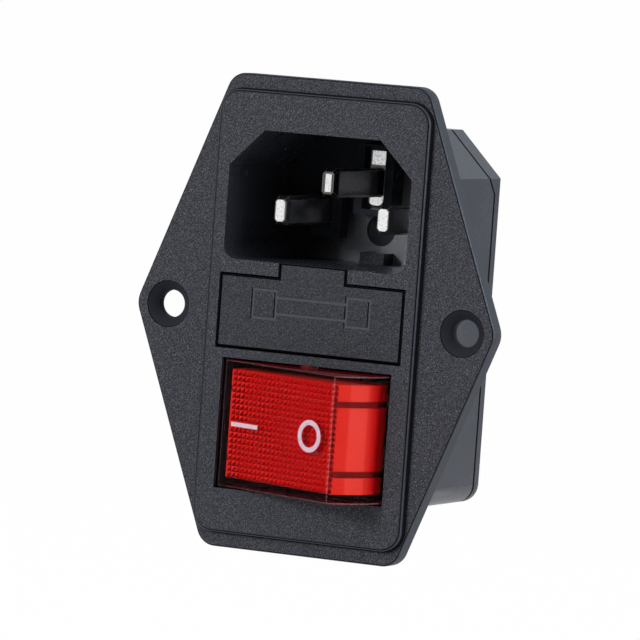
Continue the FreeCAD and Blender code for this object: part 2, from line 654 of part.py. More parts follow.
def make_pin(name, middle, height, tip, has_tab):
    """A solid pin with a shoulder behind the wall and, where it has one, a push-on tab."""
    pin = new_body(name)
    half, rise = pin_across / 2, pin_tall / 2
    full = tip + pin_taper
    section = bevelled_points(middle, height, half, rise, pin_edge)
    add(pin, "Blade", "Y", full, wall_rear, section)
    tip_end = new_sketch(pin, "TipEnd", "Y", tip)
    draw_outline(tip_end, bevelled_points(middle, height, half * tip_share, rise * tip_share, pin_edge))
    tip_root = new_sketch(pin, "TipRoot", "Y", full)
    draw_outline(tip_root, section)
    taper = pin.newObject("PartDesign::AdditiveLoft", "TaperedTip")
    taper.Profile = tip_end
    taper.Sections = [tip_root]
    taper.Ruled = True
    doc.recompute()
    out, up = half + collar, rise + collar
    add(pin, "Shoulder", "Y", wall_rear, wall_rear + collar,
        block_points(middle - out, middle + out, height - up, height + up))
    if has_tab:
        add(pin, "Tab", "X", middle - tab_thick / 2, middle + tab_thick / 2,
            tab_outline(height, wall_rear + collar))
        run(pin, "TabHole", "X", middle - tab_thick / 2, middle + tab_thick / 2,
            lambda sketch: draw_circle(sketch, tab_end - tab_hole_back, height, tab_hole / 2), True)
    return pin


live_pin = make_pin("live_pin", live_x, live_z, front + pin_setback, False)
rivet_half, rivet_rise = tab_thick / 2, pin_tall / 2 - collar
rivet_left, rivet_right = live_x - rivet_half, live_x + rivet_half
add(live_pin, "RivetedEnd", "Y", wall_rear + collar, body_end - seam,
    block_points(rivet_left, rivet_right, live_z - rivet_rise, live_z + rivet_rise))
make_pin("neutral_pin", neutral_x, live_z, front + pin_setback, True)
earth_pin = make_pin("earth_pin", as_size(0), earth_z, front + earth_setback, True)
add(earth_pin, "ShoulderPlate", "Y", shoulder_face, shoulder_face + shoulder_thick,
    box_points(shoulder_across / 2, plate_low, plate_top))
plate_feet = edges_along(earth_pin, "Y", both(shoulder_across / 2, plate_low))
soften(earth_pin, "PlateFeet", plate_feet, shoulder_round)

# Fuse clips: two arms over and under an end cap, and a neck through the wall


def make_clip(name, side):
    clip = new_body(name)
    middle = clip_place * side
    half = clip_across / 2
    arm_front = fuse_back - clip_reach
    clip_back = clip_base + clip_thick
    low, high = drawer_mid - clip_outer, drawer_mid + clip_outer
    inner_low, inner_high = drawer_mid - clip_inner, drawer_mid + clip_inner
    profile = [(clip_back, low), (clip_back, high), (arm_front, high), (arm_front, inner_high),
               (clip_base, inner_high), (clip_base, inner_low), (arm_front, inner_low), (arm_front, low)]
    add(clip, "Arms", "X", middle - half, middle + half, profile)
    neck = tab_thick / 2
    neck_end = strap_front if side < 0 else body_end - seam
    add(clip, "Neck", "Y", clip_back, neck_end,
        block_points(middle - neck, middle + neck, drawer_mid - pin_tall / 2, drawer_mid + pin_tall / 2))
    return clip


inlet_clip = make_clip("fuse_clip_inlet", -1)
strap_half = pin_across
strap_top = live_z + pin_tall / 2 + collar
add(inlet_clip, "Strap", "Y", strap_front, strap_front + strap_thick,
    block_points(-clip_place - strap_half, strap_half - clip_place, drawer_mid - pin_tall / 2, strap_top))
cut(inlet_clip, "StrapHole", "Y", strap_front, strap_front + strap_thick,
    block_points(rivet_left - pin_fit, rivet_right + pin_fit,
                 live_z - rivet_rise - pin_fit, live_z + rivet_rise + pin_fit))
outlet_clip = make_clip("fuse_clip_outlet", 1)
add(outlet_clip, "Tab", "X", clip_place - tab_thick / 2, clip_place + tab_thick / 2,
    tab_outline(drawer_mid, bay_rear + collar))
run(outlet_clip, "TabHole", "X", clip_place - tab_thick / 2, clip_place + tab_thick / 2,
    lambda sketch: draw_circle(sketch, tab_end - tab_hole_back, drawer_mid, tab_hole / 2), True)

# Fuse drawer with its two cartridges

drawer = new_body("fuse_drawer")
drawer_half = bay_half - drawer_gap
face_low, face_high = bay_low + drawer_gap, bay_top - drawer_gap
add(drawer, "Face", "Y", front, face_back, box_points(drawer_half, face_low, face_high))
add(drawer, "Pull", "Y", front, front + pull_thick,
    box_points(pull_across / 2, face_high - seam, inlet_floor))
soften(drawer, "FrontEdge", edges_at(drawer, "Y", front), drawer_soft, True)
add(drawer, "Tray", "Y", face_back, tray_back, box_points(tray_half, tray_low, tray_top))
spare_z = drawer_mid - fuse_room
cut(drawer, "SpareRoom", "Z", spare_z - fuse_half - seam, tray_top,
    box_points(room_half, spare_back - fuse_half - fuse_room, spare_back + fuse_half + fuse_room))
saddle_half = saddle_across / 2
for side, name in ((-1, "InletEndRoom"), (1, "OutletEndRoom")):
    inner, outer = saddle_half * side, room_half * side
    left, right = (outer, inner) if side < 0 else (inner, outer)
    cut(drawer, name, "Z", tray_low + tray_floor, tray_top,
        block_points(left, right, work_front, tray_back))
glass_half = fuse_half - cap_wall - glass_gap
saddle_radius = glass_half + saddle_fit
run(drawer, "SaddleBore", "X", -saddle_half, saddle_half,
    lambda sketch: draw_circle(sketch, fuse_back, drawer_mid, saddle_radius), True)
cut(drawer, "SaddleMouth", "Z", drawer_mid, tray_top,
    box_points(saddle_half, fuse_back - saddle_mouth / 2, fuse_back + saddle_mouth / 2))


def cylinder(name, radius, length, placement):
    """A plain cylinder whose own Z axis is its length."""
    made = doc.addObject("Part::Cylinder", name)
    made.setExpression("Radius", radius.formula)
    made.setExpression("Height", length.formula)
    made.setExpression("Placement", placement)
    return made


def box(name, low, high):
    """A box between two corners."""
    made = doc.addObject("Part::Box", name)
    spans = [as_size(b) - as_size(a) for a, b in zip(low, high)]
    for field, span in zip(("Length", "Width", "Height"), spans):
        made.setExpression(field, span.formula)
    made.setExpression("Placement", at(*low))
    return made


def at(across, along, up, turn=None, axis=(0, 0, 1)):
    """Formula of a placement: a place and, where given, a turn in degrees about an axis."""
    place = "; ".join(as_size(value).formula for value in (across, along, up))
    angle = as_size(turn if turn is not None else 0).formula
    spin = "; ".join(str(value) for value in axis)
    return f"placement(vector({place}); rotation(vector({spin}); {angle}))"


def subtract(name, base, tool):
    made = doc.addObject("Part::Cut", name)
    made.Base = base
    made.Tool = tool
    return made


def unite(name, *pieces):
    made = doc.addObject("Part::MultiFuse", name)
    made.Shapes = list(pieces)
    return made


def overlap(name, *pieces):
    made = doc.addObject("Part::MultiCommon", name)
    made.Shapes = list(pieces)
    return made


sub_parts = []


def finish(name, made):
    """Keeps a boolean's result as the piece of that name."""
    made.Label = name
    sub_parts.append(made)
    return made


def make_fuse(prefix, back, height):
    """A cartridge fuse lying along X: glass tube, two end caps and the wire."""
    half_length = fuse_length / 2
    tube_half = half_length - cap_wall - glass_gap
    lying = (0, 1, 0)
    tube_place = at(-tube_half, back, height, 90, lying)
    outer = cylinder(prefix + "TubeOuter", glass_half, tube_half * 2, tube_place)
    inner = cylinder(prefix + "TubeInner", glass_half - glass_wall, tube_half * 2, tube_place)
    finish(f"{prefix}_tube", subtract(prefix + "Tube", outer, inner))
    for side, word in ((-1, "left"), (1, "right")):
        start = -half_length if side < 0 else half_length - cap_length
        bore_start = cap_wall - half_length if side < 0 else half_length - cap_length
        shell = cylinder(f"{prefix}Cap{word}Outer", fuse_half, cap_length,
                         at(start, back, height, 90, lying))
        bore = cylinder(f"{prefix}Cap{word}Bore", fuse_half - cap_wall, cap_length - cap_wall,
                        at(bore_start, back, height, 90, lying))
        finish(f"{prefix}_cap_{word}", subtract(f"{prefix}Cap{word}", shell, bore))
    thin = element_width / 2
    finish(f"{prefix}_wire", box(prefix + "Wire", (-tube_half, back - thin, height - thin),
                                 (tube_half, back + thin, height + thin)))


make_fuse("fuse", fuse_back, drawer_mid)
make_fuse("spare_fuse", spare_back, spare_z)

# Rocker, drawn level about its pivot and then tilted to the rest position

rocker_half = well_tall / 2 - rocker_gap
rocker_place = at(0, pivot_y, switch_mid, -rocker_tilt)


def arc_between(sketch, radius, first, last):
    """Adds an arc about the pivot between two angles, in degrees, with its radius tied to the sheet."""
    circle = Part.Circle(Vector(0, 0, 0), Vector(0, 0, 1), radius.value)
    arc = sketch.addGeometry(Part.ArcOfCircle(circle, math.radians(first), math.radians(last)))
    sketch.addConstraint(Sketcher.Constraint("Coincident", arc, 3, -1, 1))
    tie(sketch, "Radius", arc, 0, radius)
    return arc


def angle_at(radius, along):
    return math.degrees(math.asin(along.value / radius.value))


def draw_drum(sketch, radius, face, skirt):
    """Draws a round section about the pivot, cut flat in front at face and behind at skirt."""
    front_half = math.sqrt(radius.value ** 2 - face.value ** 2)
    rear_half = math.sqrt(radius.value ** 2 - skirt.value ** 2)
    corners = [Vector(-front_half, -face.value, 0), Vector(front_half, -face.value, 0),
               Vector(rear_half, skirt.value, 0), Vector(-rear_half, skirt.value, 0)]
    top = sketch.addGeometry(Part.LineSegment(corners[0], corners[1]))
    foot = sketch.addGeometry(Part.LineSegment(corners[2], corners[3]))
    rear, ahead = angle_at(radius, skirt), angle_at(radius, face)
    right = arc_between(sketch, radius, -ahead, rear)
    left = arc_between(sketch, radius, 180 - rear, 180 + ahead)
    for first, first_end, second, second_end in ((top, 2, right, 1), (right, 2, foot, 1),
                                                 (foot, 2, left, 1), (left, 2, top, 1)):
        sketch.addConstraint(Sketcher.Constraint("Coincident", first, first_end, second, second_end))
    for line, level in ((top, -face), (foot, skirt)):
        sketch.addConstraint(Sketcher.Constraint("Horizontal", line))
        tie(sketch, "DistanceY", line, 1, level)


rocker_cap = new_body("rocker_cap", rocker_place)
run(rocker_cap, "CapDrum", "Z", -rocker_half, rocker_half,
    lambda sketch: draw_drum(sketch, rocker_radius, rocker_face, rocker_skirt))
face_half = root(rocker_radius * rocker_radius - rocker_face * rocker_face)
ridges = edges_along(rocker_cap, "Z", both(face_half, -rocker_face))
long_edges = [name for name in edges_at(rocker_cap, "Y", -rocker_face) if name not in ridges]
soften(rocker_cap, "FaceEdges", ridges + long_edges, ridge_round)
cap_inner_radius = rocker_radius - cap_shell
cap_inner_half = rocker_half - cap_side
cap_inner_face = rocker_face - cap_shell
stub_end = rocker_half + rocker_gap + trunnion_reach
run(rocker_cap, "PivotStubs", "Z", -stub_end, stub_end,
    lambda sketch: draw_circle(sketch, 0, 0, trunnion_width / 2))
run(rocker_cap, "CapInside", "Z", -cap_inner_half, cap_inner_half,
    lambda sketch: draw_drum(sketch, cap_inner_radius, cap_inner_face, rocker_skirt + seam), True)

lens_radius = cap_inner_radius - lens_gap
lens_half = cap_inner_half - lens_gap
lens_face = cap_inner_face - lens_relief
lens_skirt = rocker_skirt - lens_wall
lens_inner_radius = lens_radius - lens_wall
lens_inner_half = lens_half - lens_wall
groove_radius = lens_radius - groove_sink
groove_top = lens_face - groove_sink
groove_out = lens_radius + groove_sink


def draw_groove(sketch, side):
    """Draws one end groove's section: an arc about the pivot, closed by three straight edges."""
    near_top = math.sqrt(groove_radius.value ** 2 - groove_top.value ** 2) * side
    near_foot = math.sqrt(groove_radius.value ** 2 - lens_skirt.value ** 2) * side
    spots = [Vector(near_foot, lens_skirt.value, 0), Vector(groove_out.value * side, lens_skirt.value, 0),
             Vector(groove_out.value * side, -groove_top.value, 0), Vector(near_top, -groove_top.value, 0)]
    lines = [sketch.addGeometry(Part.LineSegment(spots[i], spots[i + 1])) for i in range(3)]
    rear, ahead = angle_at(groove_radius, lens_skirt), angle_at(groove_radius, groove_top)
    first, last = (-ahead, rear) if side > 0 else (180 - rear, 180 + ahead)
    arc = arc_between(sketch, groove_radius, first, last)
    for line in (0, 1):
        sketch.addConstraint(Sketcher.Constraint("Coincident", lines[line], 2, lines[line + 1], 1))
    foot_end, top_end = (2, 1) if side > 0 else (1, 2)
    sketch.addConstraint(Sketcher.Constraint("Coincident", lines[0], 1, arc, foot_end))
    sketch.addConstraint(Sketcher.Constraint("Coincident", lines[2], 2, arc, top_end))
    tie(sketch, "DistanceY", lines[0], 1, lens_skirt)
    tie(sketch, "DistanceX", lines[0], 2, groove_out * side)
    tie(sketch, "DistanceY", lines[0], 2, lens_skirt)
    tie(sketch, "DistanceX", lines[1], 2, groove_out * side)
    tie(sketch, "DistanceY", lines[1], 2, -groove_top)
    tie(sketch, "DistanceY", lines[2], 2, -groove_top)


rocker_lens = new_body("rocker_lens", rocker_place)
run(rocker_lens, "LensDrum", "Z", -lens_half, lens_half,
    lambda sketch: draw_drum(sketch, lens_radius, lens_face, lens_skirt))
run(rocker_lens, "LensInside", "Z", -lens_inner_half, lens_inner_half,
    lambda sketch: draw_drum(sketch, lens_inner_radius, lens_face - lens_wall, lens_skirt + seam), True)
for level, word in ((-1, "Low"), (1, "High")):
    middle = groove_place * level
    for side, end in ((-1, "Left"), (1, "Right")):
        run(rocker_lens, f"Groove{word}{end}", "Z", middle - groove_wide / 2, middle + groove_wide / 2,
            lambda sketch, side=side: draw_groove(sketch, side), True)

carrier = new_body("rocker_carrier", rocker_place)
bridge_back = bridge_front + bridge_thick
bridge_half = root(lens_inner_radius * lens_inner_radius - bridge_back * bridge_back) - lens_gap
add(carrier, "Bridge", "Y", bridge_front, bridge_back,
    box_points(bridge_half, lens_gap - lens_inner_half, lens_inner_half - lens_gap))


def draw_barrels(sketch, radius):
    for _, side in POLES:
        draw_circle(sketch, 0, pole_offset * side, radius)


run(carrier, "Barrels", "Y", -barrel_top, barrel_reach,
    lambda sketch: draw_barrels(sketch, barrel_width / 2))
run(carrier, "Bores", "Y", barrel_roof - barrel_top, barrel_reach,
    lambda sketch: draw_barrels(sketch, barrel_bore / 2), True)

resistor_rear = resistor_width / 2 - lamp_front
add(carrier, "ResistorRest", "Y", resistor_rear + lens_gap, bridge_front,
    block_points(lamp_place - rest_half, lamp_place + rest_half,
                 rest_half - resistor_low, resistor_length - resistor_low - rest_half))

# Plungers and their springs, in the barrels
spring_start = barrel_roof - barrel_top + seam
spring_end = plunger_start - plunger_travel - seam
for pole, side in POLES:
    height = pole_offset * side
    back = (1, 0, 0)
    stem = cylinder(f"{pole}PlungerStem", plunger_width / 2, plunger_step - plunger_start,
                    at(0, plunger_start, height, -90, back))
    nose = cylinder(f"{pole}PlungerNose", plunger_tip, plunger_reach - plunger_tip - plunger_step,
                    at(0, plunger_step, height, -90, back))
    ball = doc.addObject("Part::Sphere", f"{pole}PlungerBall")
    ball.setExpression("Radius", plunger_tip.formula)
    ball.setExpression("Placement", at(0, plunger_reach - plunger_tip, height))
    plunger = unite(f"{pole}Plunger", stem, nose, ball)
    plunger.setExpression("Placement", rocker_place)
    finish(f"plunger_{pole}", plunger)

for pole, side in POLES:
    spring = new_body(f"plunger_spring_{pole}", rocker_place)
    profile = new_sketch(spring, "WireSection", "Z", pole_offset * side)
    coil_outer = spring_width / 2
    draw_outline(profile, block_points(coil_outer - spring_wire, coil_outer,
                                       spring_start, spring_start + spring_wire))
    coil = spring.newObject("PartDesign::AdditiveHelix", "Coil")
    coil.Profile = profile
    coil.ReferenceAxis = (profile, ["V_Axis"])
    coil.Mode = "height-turns-angle"
    coil.setExpression("Height", (spring_end - spring_start - spring_wire).formula)
    coil.setExpression("Turns", spring_turns.formula)
    doc.recompute()

# Glow lamp, its resistor and their leads, lying in front of the carrier's plate

lamp = new_body("glow_lamp", rocker_place)
lamp_half = lamp_length / 2
run(lamp, "Glass", "Z", -lamp_half, lamp_half,
    lambda sketch: draw_circle(sketch, -lamp_place, -lamp_front, lamp_width / 2))
soften(lamp, "TaperedEnd", edges_at(lamp, "Z", lamp_half), lamp_taper, True)
resistor = new_body("lamp_resistor", rocker_place)
resistor_high = resistor_length - resistor_low
run(resistor, "Core", "Z", -resistor_low, resistor_high,
    lambda sketch: draw_circle(sketch, lamp_place, -lamp_front, resistor_width / 2))


def make_lead(name, points):
    """A square wire along straight stretches in the plane of the lamp's axis: X and Z pairs."""
    lead = new_body(name, rocker_place)
    spine = new_sketch(lead, "Route", "Y", -lamp_front)
    spots = [(as_size(across), as_size(along)) for across, along in points]
    bends = [Vector(across.value, along.value, 0) for across, along in spots]
    lines = [spine.addGeometry(Part.LineSegment(first, second)) for first, second in zip(bends, bends[1:])]
    for first, second in zip(lines, lines[1:]):
        spine.addConstraint(Sketcher.Constraint("Coincident", first, 2, second, 1))
    for line, (across, along) in zip(lines, spots):
        tie(spine, "DistanceX", line, 1, across)
        tie(spine, "DistanceY", line, 1, along)
    tie(spine, "DistanceX", lines[-1], 2, spots[-1][0])
    tie(spine, "DistanceY", lines[-1], 2, spots[-1][1])
    section = new_sketch(lead, "WireSection", "Z", spots[0][1])
    thin = lead_wire / 2
    draw_outline(section, block_points(spots[0][0] - thin, spots[0][0] + thin,
                                       -lamp_front - thin, thin - lamp_front))
    wire = lead.newObject("PartDesign::AdditivePipe", "Wire")
    wire.Profile = section
    wire.Spine = (spine, [f"Edge{i + 1}" for i in range(len(lines))])
    wire.Transition = "Right corner"
    doc.recompute()
    return lead


make_lead("lamp_lead_live", [(-lamp_place, lamp_half), (-lamp_place, lamp_half + lead_bend),
                             (0, lamp_half + lead_bend)])
link_low = -(barrel_width / 2 + pole_offset + lead_wire / 2 + seam)
make_lead("lamp_lead_link", [(-lamp_place, -lamp_half), (-lamp_place, link_low), (lamp_place, link_low),
                             (lamp_place, -resistor_low)])
lead_top = resistor_high + lead_bend
make_lead("lamp_lead_neutral", [(lamp_place, resistor_high), (lamp_place, lead_top), (lead_side, lead_top),
                                (lead_side, -pole_offset), (0, -pole_offset)])

# Contact blades: a trough that the plunger's nose rides in, two wings and a rivet
nose_radius = plunger_reach - plunger_tip
fulcrum_drop = fulcrum_y - pivot_y
side_x = nose_radius * sine(rocker_tilt)
side_y = nose_radius * cosine(rocker_tilt) - fulcrum_drop
end_x = side_x * cosine(blade_tilt) + side_y * sine(blade_tilt)
end_y = side_y * cosine(blade_tilt) - side_x * sine(blade_tilt)
rest_y = nose_radius - fulcrum_drop
bow = rest_y - end_y
path_radius = (end_x * end_x + bow * bow) / (bow * 2)
trough_inner = path_radius + plunger_tip + blade_slide
trough_outer = trough_inner + blade_thick
trough_middle = rest_y - path_radius
wing_y = trough_middle + root(trough_inner * trough_inner - trough_half * trough_half)
blade_side = blade_across / 2


def blade_place(pole_side):
    return at(0, fulcrum_y, switch_mid + pole_offset * pole_side, blade_tilt)


for pole, side in POLES:
    bar = cylinder(f"{pole}TroughOuter", trough_outer, blade_across, at(0, trough_middle, -blade_side))
    hollow = cylinder(f"{pole}TroughInner", trough_inner, blade_across, at(0, trough_middle, -blade_side))
    ring = subtract(f"{pole}TroughRing", bar, hollow)
    window = box(f"{pole}TroughWindow", (-trough_half, wing_y, -blade_side),
                 (trough_half, blade_thick, blade_side))
    trough = overlap(f"{pole}Trough", ring, window)
    left = box(f"{pole}WingLeft", (-blade_half, wing_y, -blade_side),
               (-trough_half + blade_thick / 2, wing_y + blade_thick, blade_side))
    right = box(f"{pole}WingRight", (trough_half - blade_thick / 2, wing_y, -blade_side),
                (blade_half, wing_y + blade_thick, blade_side))
    relief = cylinder(f"{pole}WingRelief", trough_inner, blade_across, at(0, trough_middle, -blade_side))
    keep = subtract(f"{pole}Wings", unite(f"{pole}WingPair", left, right), relief)
    rivet = cylinder(f"{pole}BladeRivet", rivet_width / 2, rivet_tall,
                     at(rivet_place, wing_y + blade_thick, 0, -90, (1, 0, 0)))
    blade = unite(f"{pole}Blade", trough, keep, rivet)
    blade.setExpression("Placement", blade_place(side))
    finish(f"contact_blade_{pole}", blade)

# Switch terminals: a horned fulcrum under each blade and a fixed contact at its right end


def spade_outline(middle):
    """Plan of a tab whose width lies along X: X and Y pairs."""
    half = tab_across / 2
    return [(middle - half, body_end), (middle + half, body_end), (middle + half, tab_end - tab_taper),
            (middle + half - tab_taper, tab_end), (middle - half + tab_taper, tab_end),
            (middle - half, tab_end - tab_taper)]


rivet_x = rivet_place * cosine(blade_tilt) - (wing_y + blade_thick + rivet_tall) * sine(blade_tilt)
rivet_y = rivet_place * sine(blade_tilt) + (wing_y + blade_thick + rivet_tall) * cosine(blade_tilt)
contact_y = fulcrum_y + rivet_y + rivet_gap
table_front = contact_y + rivet_tall
for pole, side in POLES:
    pole_z = switch_mid + pole_offset * side
    thin = post_thick / 2
    fork = new_body(f"switch_outlet_{pole}")
    reach = post_across / 2
    notch = blade_side + horn_gap
    fork_y = fulcrum_y + blade_rock
    horn_front = fulcrum_y - horn_height
    add(fork, "Fork", "X", -thin, thin,
        [(foot_front, pole_z - reach), (foot_front, pole_z + reach), (horn_front, pole_z + reach),
         (horn_front, pole_z + notch), (fork_y, pole_z + notch), (fork_y, pole_z - notch),
         (horn_front, pole_z - notch), (horn_front, pole_z - reach)])
    soften(fork, "RockingEdge", edges_along(fork, "Z", both(thin, fork_y)), thin * rocking_share)
    add(fork, "Foot", "Y", foot_front, body_end, box_points(tab_across / 2, pole_z - reach, pole_z + reach))
    add(fork, "Tab", "Z", pole_z - tab_thick / 2, pole_z + tab_thick / 2, spade_outline(as_size(0)))
    run(fork, "TabHole", "Z", pole_z - tab_thick / 2, pole_z + tab_thick / 2,
        lambda sketch: draw_circle(sketch, 0, tab_end - tab_hole_back, tab_hole / 2), True)

    post = new_body(f"switch_inlet_{pole}")
    lean = blade_across / 2
    add(post, "Post", "Y", table_front, foot_front,
        block_points(end_post - thin, end_post + thin, pole_z - lean, pole_z + lean))
    add(post, "Table", "Y", table_front, table_front + post_thick,
        block_points(rivet_x - rivet_width / 2, end_post + thin, pole_z - lean, pole_z + lean))
    run(post, "Rivet", "Y", contact_y, table_front,
        lambda sketch: draw_circle(sketch, rivet_x, pole_z, rivet_width / 2))
    add(post, "Foot", "Y", foot_front, body_end,
        block_points(end_post - tab_across / 2, end_post + tab_across / 2, pole_z - reach, pole_z + reach))
    add(post, "Tab", "Z", pole_z - tab_thick / 2, pole_z + tab_thick / 2, spade_outline(end_post))
    run(post, "TabHole", "Z", pole_z - tab_thick / 2, pole_z + tab_thick / 2,
        lambda sketch: draw_circle(sketch, end_post, tab_end - tab_hole_back, tab_hole / 2), True)

# Check every object, then write one file for each piece

doc.recompute()
pieces = [item for item in doc.Objects if item.TypeId == "PartDesign::Body"] + sub_parts
for item in doc.Objects:
    if "Invalid" in item.State or "Error" in item.State:
        raise RuntimeError(f"{item.Name} failed: {item.State}")
for piece in pieces:
    if piece.Shape.isNull() or not piece.Shape.isValid():
        raise RuntimeError(f"{piece.Label} has no valid shape")
os.makedirs("parts", exist_ok=True)
for piece in pieces:
    piece.Shape.exportStep(f"parts/{piece.Label}.step")
print(len(pieces), "pieces written")
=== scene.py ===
"""Looks of the panel power entry module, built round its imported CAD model. Lengths are in metres."""
import math

import bmesh
import bpy
from mathutils import Matrix, Vector


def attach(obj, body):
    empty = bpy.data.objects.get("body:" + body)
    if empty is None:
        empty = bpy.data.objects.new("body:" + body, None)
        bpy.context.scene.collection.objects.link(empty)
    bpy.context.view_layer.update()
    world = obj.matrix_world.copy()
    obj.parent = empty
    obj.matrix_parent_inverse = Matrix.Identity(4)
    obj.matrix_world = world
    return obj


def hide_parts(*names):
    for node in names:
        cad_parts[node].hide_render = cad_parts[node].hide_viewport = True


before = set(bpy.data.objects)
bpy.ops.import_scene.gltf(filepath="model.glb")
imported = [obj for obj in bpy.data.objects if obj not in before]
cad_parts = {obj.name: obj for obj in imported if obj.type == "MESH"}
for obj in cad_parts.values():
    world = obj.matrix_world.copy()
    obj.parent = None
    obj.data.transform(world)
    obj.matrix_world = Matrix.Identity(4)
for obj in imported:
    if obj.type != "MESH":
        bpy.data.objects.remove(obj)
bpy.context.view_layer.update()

MM = 0.001

# Places shared with the CAD model

FRONT = -3.2 * MM
PIVOT = Vector((0, -1.6 * MM, -13.805 * MM))
ROCKER_LEAN = math.radians(-20.8)
ROCKER = Matrix.Translation(PIVOT) @ Matrix.Rotation(ROCKER_LEAN, 4, "Z")
ROCKER_FACE = 5.2 * MM
CAP_INNER_FACE = 4.55 * MM
LENS_FACE = 4.25 * MM
GROOVE_PLACE = 4.25 * MM
GROOVE_HALF = 0.4 * MM

# How deep the fuse symbol's lines are sunk, and the widths over which one finish passes into another

SYMBOL_DEPTH = 0.2 * MM
CRISP = 0.02 * MM
SOFT = 0.05 * MM


# Building materials from nodes

class Field:
    """A number, vector or colour that varies over a surface: one output in a tree of nodes."""

    def __init__(self, tree, socket):
        self.tree = tree
        self.socket = socket

    def into(self, kind, entry):
        """A new node that takes this field in at one of its entries."""
        node = self.tree.nodes.new(kind)
        self.tree.links.new(self.socket, node.inputs[entry])
        return node

    def step(self, operation, other=0.0):
        """One arithmetic step with a number or another field."""
        node = self.into("ShaderNodeMath", 0)
        node.operation = operation
        feed(self.tree, node.inputs[1], other)
        return Field(self.tree, node.outputs["Value"])

    def __add__(self, other):
        return self.step("ADD", other)

    def __sub__(self, other):
        return self.step("SUBTRACT", other)

    def __mul__(self, other):
        return self.step("MULTIPLY", other)

    def __pow__(self, other):
        return self.step("POWER", other)

    def __or__(self, other):
        """The larger of two masks."""
        return self.step("MAXIMUM", other)

    def __abs__(self):
        return self.step("ABSOLUTE")

    def span(self, low, high, to_low=0.0, to_high=1.0):
        """Maps a range of values onto another, held at its ends."""
        node = self.into("ShaderNodeMapRange", "Value")
        for name, number in (("From Min", low), ("From Max", high), ("To Min", to_low), ("To Max", to_high)):
            node.inputs[name].default_value = number
        return Field(self.tree, node.outputs["Result"])

    def above(self, limit, soft):
        """Nought up to a limit, then one."""
        return self.span(limit, limit + soft, 0.0, 1.0)

    def below(self, limit, soft):
        """One up to a limit, then nought."""
        return self.span(limit, limit + soft, 1.0, 0.0)

    def near(self, middle, half, soft):
        """One within half a width of a place, and nought further off."""
        return abs(self - middle).below(half, soft)

    def opposite(self):
        """One where a mask is nought."""
        return self.span(0.0, 1.0, 1.0, 0.0)

    def ramp(self, *stops):
        """A colour ramp; each stop is a place and an RGB colour."""
        node = self.into("ShaderNodeValToRGB", "Fac")
        points = node.color_ramp.elements
        while len(points) < len(stops):
            points.new(0.5)
        for point, (place, colour) in zip(points, stops):
            point.position = place
            point.color = (*colour, 1)
        return Field(self.tree, node.outputs["Color"])

    def bump(self, strength, distance):
        """The surface normal over this height."""
        node = self.into("ShaderNodeBump", "Height")
        node.inputs["Strength"].default_value = strength
        node.inputs["Distance"].default_value = distance
        return Field(self.tree, node.outputs["Normal"])

    def noise(self, scale, detail, rough):
        """Cloudy noise over these coordinates."""
        node = self.into("ShaderNodeTexNoise", "Vector")
        for name, number in (("Scale", scale), ("Detail", detail), ("Roughness", rough)):
            node.inputs[name].default_value = number
        return Field(self.tree, node.outputs["Fac"])

    def stretch(self, scale, turn=(0, 0, 0)):
        """These coordinates scaled, then turned."""
        node = self.into("ShaderNodeMapping", "Vector")
        node.inputs["Scale"].default_value = scale
        node.inputs["Rotation"].default_value = turn
        return Field(self.tree, node.outputs["Vector"])

    def moved(self, origin):
        """These coordinates counted from another origin."""
        node = self.into("ShaderNodeVectorMath", 0)
        node.operation = "SUBTRACT"
        node.inputs[1].default_value = origin
        return Field(self.tree, node.outputs["Vector"])

    def toward(self, direction):
        """How far this vector points along a direction."""
        node = self.into("ShaderNodeVectorMath", 0)
        node.operation = "DOT_PRODUCT"
        node.inputs[1].default_value = direction
        return Field(self.tree, node.outputs["Value"])

    def parts(self):
        """The three numbers of a vector."""
        node = self.into("ShaderNodeSeparateXYZ", "Vector")
        return [Field(self.tree, node.outputs[axis]) for axis in "XYZ"]


def feed(tree, socket, value):
    """Gives a socket a field, a colour or a number."""
    if isinstance(value, Field):
        tree.links.new(value.socket, socket)
    elif isinstance(value, tuple):
        socket.default_value = (*value, 1)
    else:
        socket.default_value = value


def cover(under, mask, over):
    """One colour laid over another where a mask is one."""
    node = mask.tree.nodes.new("ShaderNodeMix")
    node.data_type = "RGBA"
    feed(mask.tree, node.inputs["Factor"], mask)
    feed(mask.tree, node.inputs["A"], under)
    feed(mask.tree, node.inputs["B"], over)
    return Field(mask.tree, node.outputs["Result"])


def change(outside, mask, inside):
    """One number that gives way to another where a mask is one."""
    node = mask.tree.nodes.new("ShaderNodeMix")
    feed(mask.tree, node.inputs["Factor"], mask)
    feed(mask.tree, node.inputs["A"], outside)
    feed(mask.tree, node.inputs["B"], inside)
    return Field(mask.tree, node.outputs["Result"])


def shade(colour, factor):
    """A colour made darker or lighter."""
    return tuple(factor * part for part in colour)


class Paint:
    """A material in the making: its shader, and the coordinates and normals of the piece itself."""

    def __init__(self, name):
        self.mat = bpy.data.materials.new(name)
        self.mat.use_nodes = True
        self.tree = self.mat.node_tree
        self.tree.nodes.clear()
        self.out = self.tree.nodes.new("ShaderNodeOutputMaterial")
        self.shader = self.tree.nodes.new("ShaderNodeBsdfPrincipled")
        self.tree.links.new(self.shader.outputs["BSDF"], self.out.inputs["Surface"])
        found = self.tree.nodes.new("ShaderNodeTexCoord")
        self.place = Field(self.tree, found.outputs["Object"])
        self.normal = Field(self.tree, found.outputs["Normal"])

    def set(self, name, value):
        """Sets one input of the shader."""
        feed(self.tree, self.shader.inputs[name], value)

    def finish(self, colour, rough, normal):
        """Sets what every material here has, and gives the material."""
        self.set("Base Color", colour)
        self.set("Roughness", rough)
        self.set("Normal", normal)
        return self.mat


# Black plastic

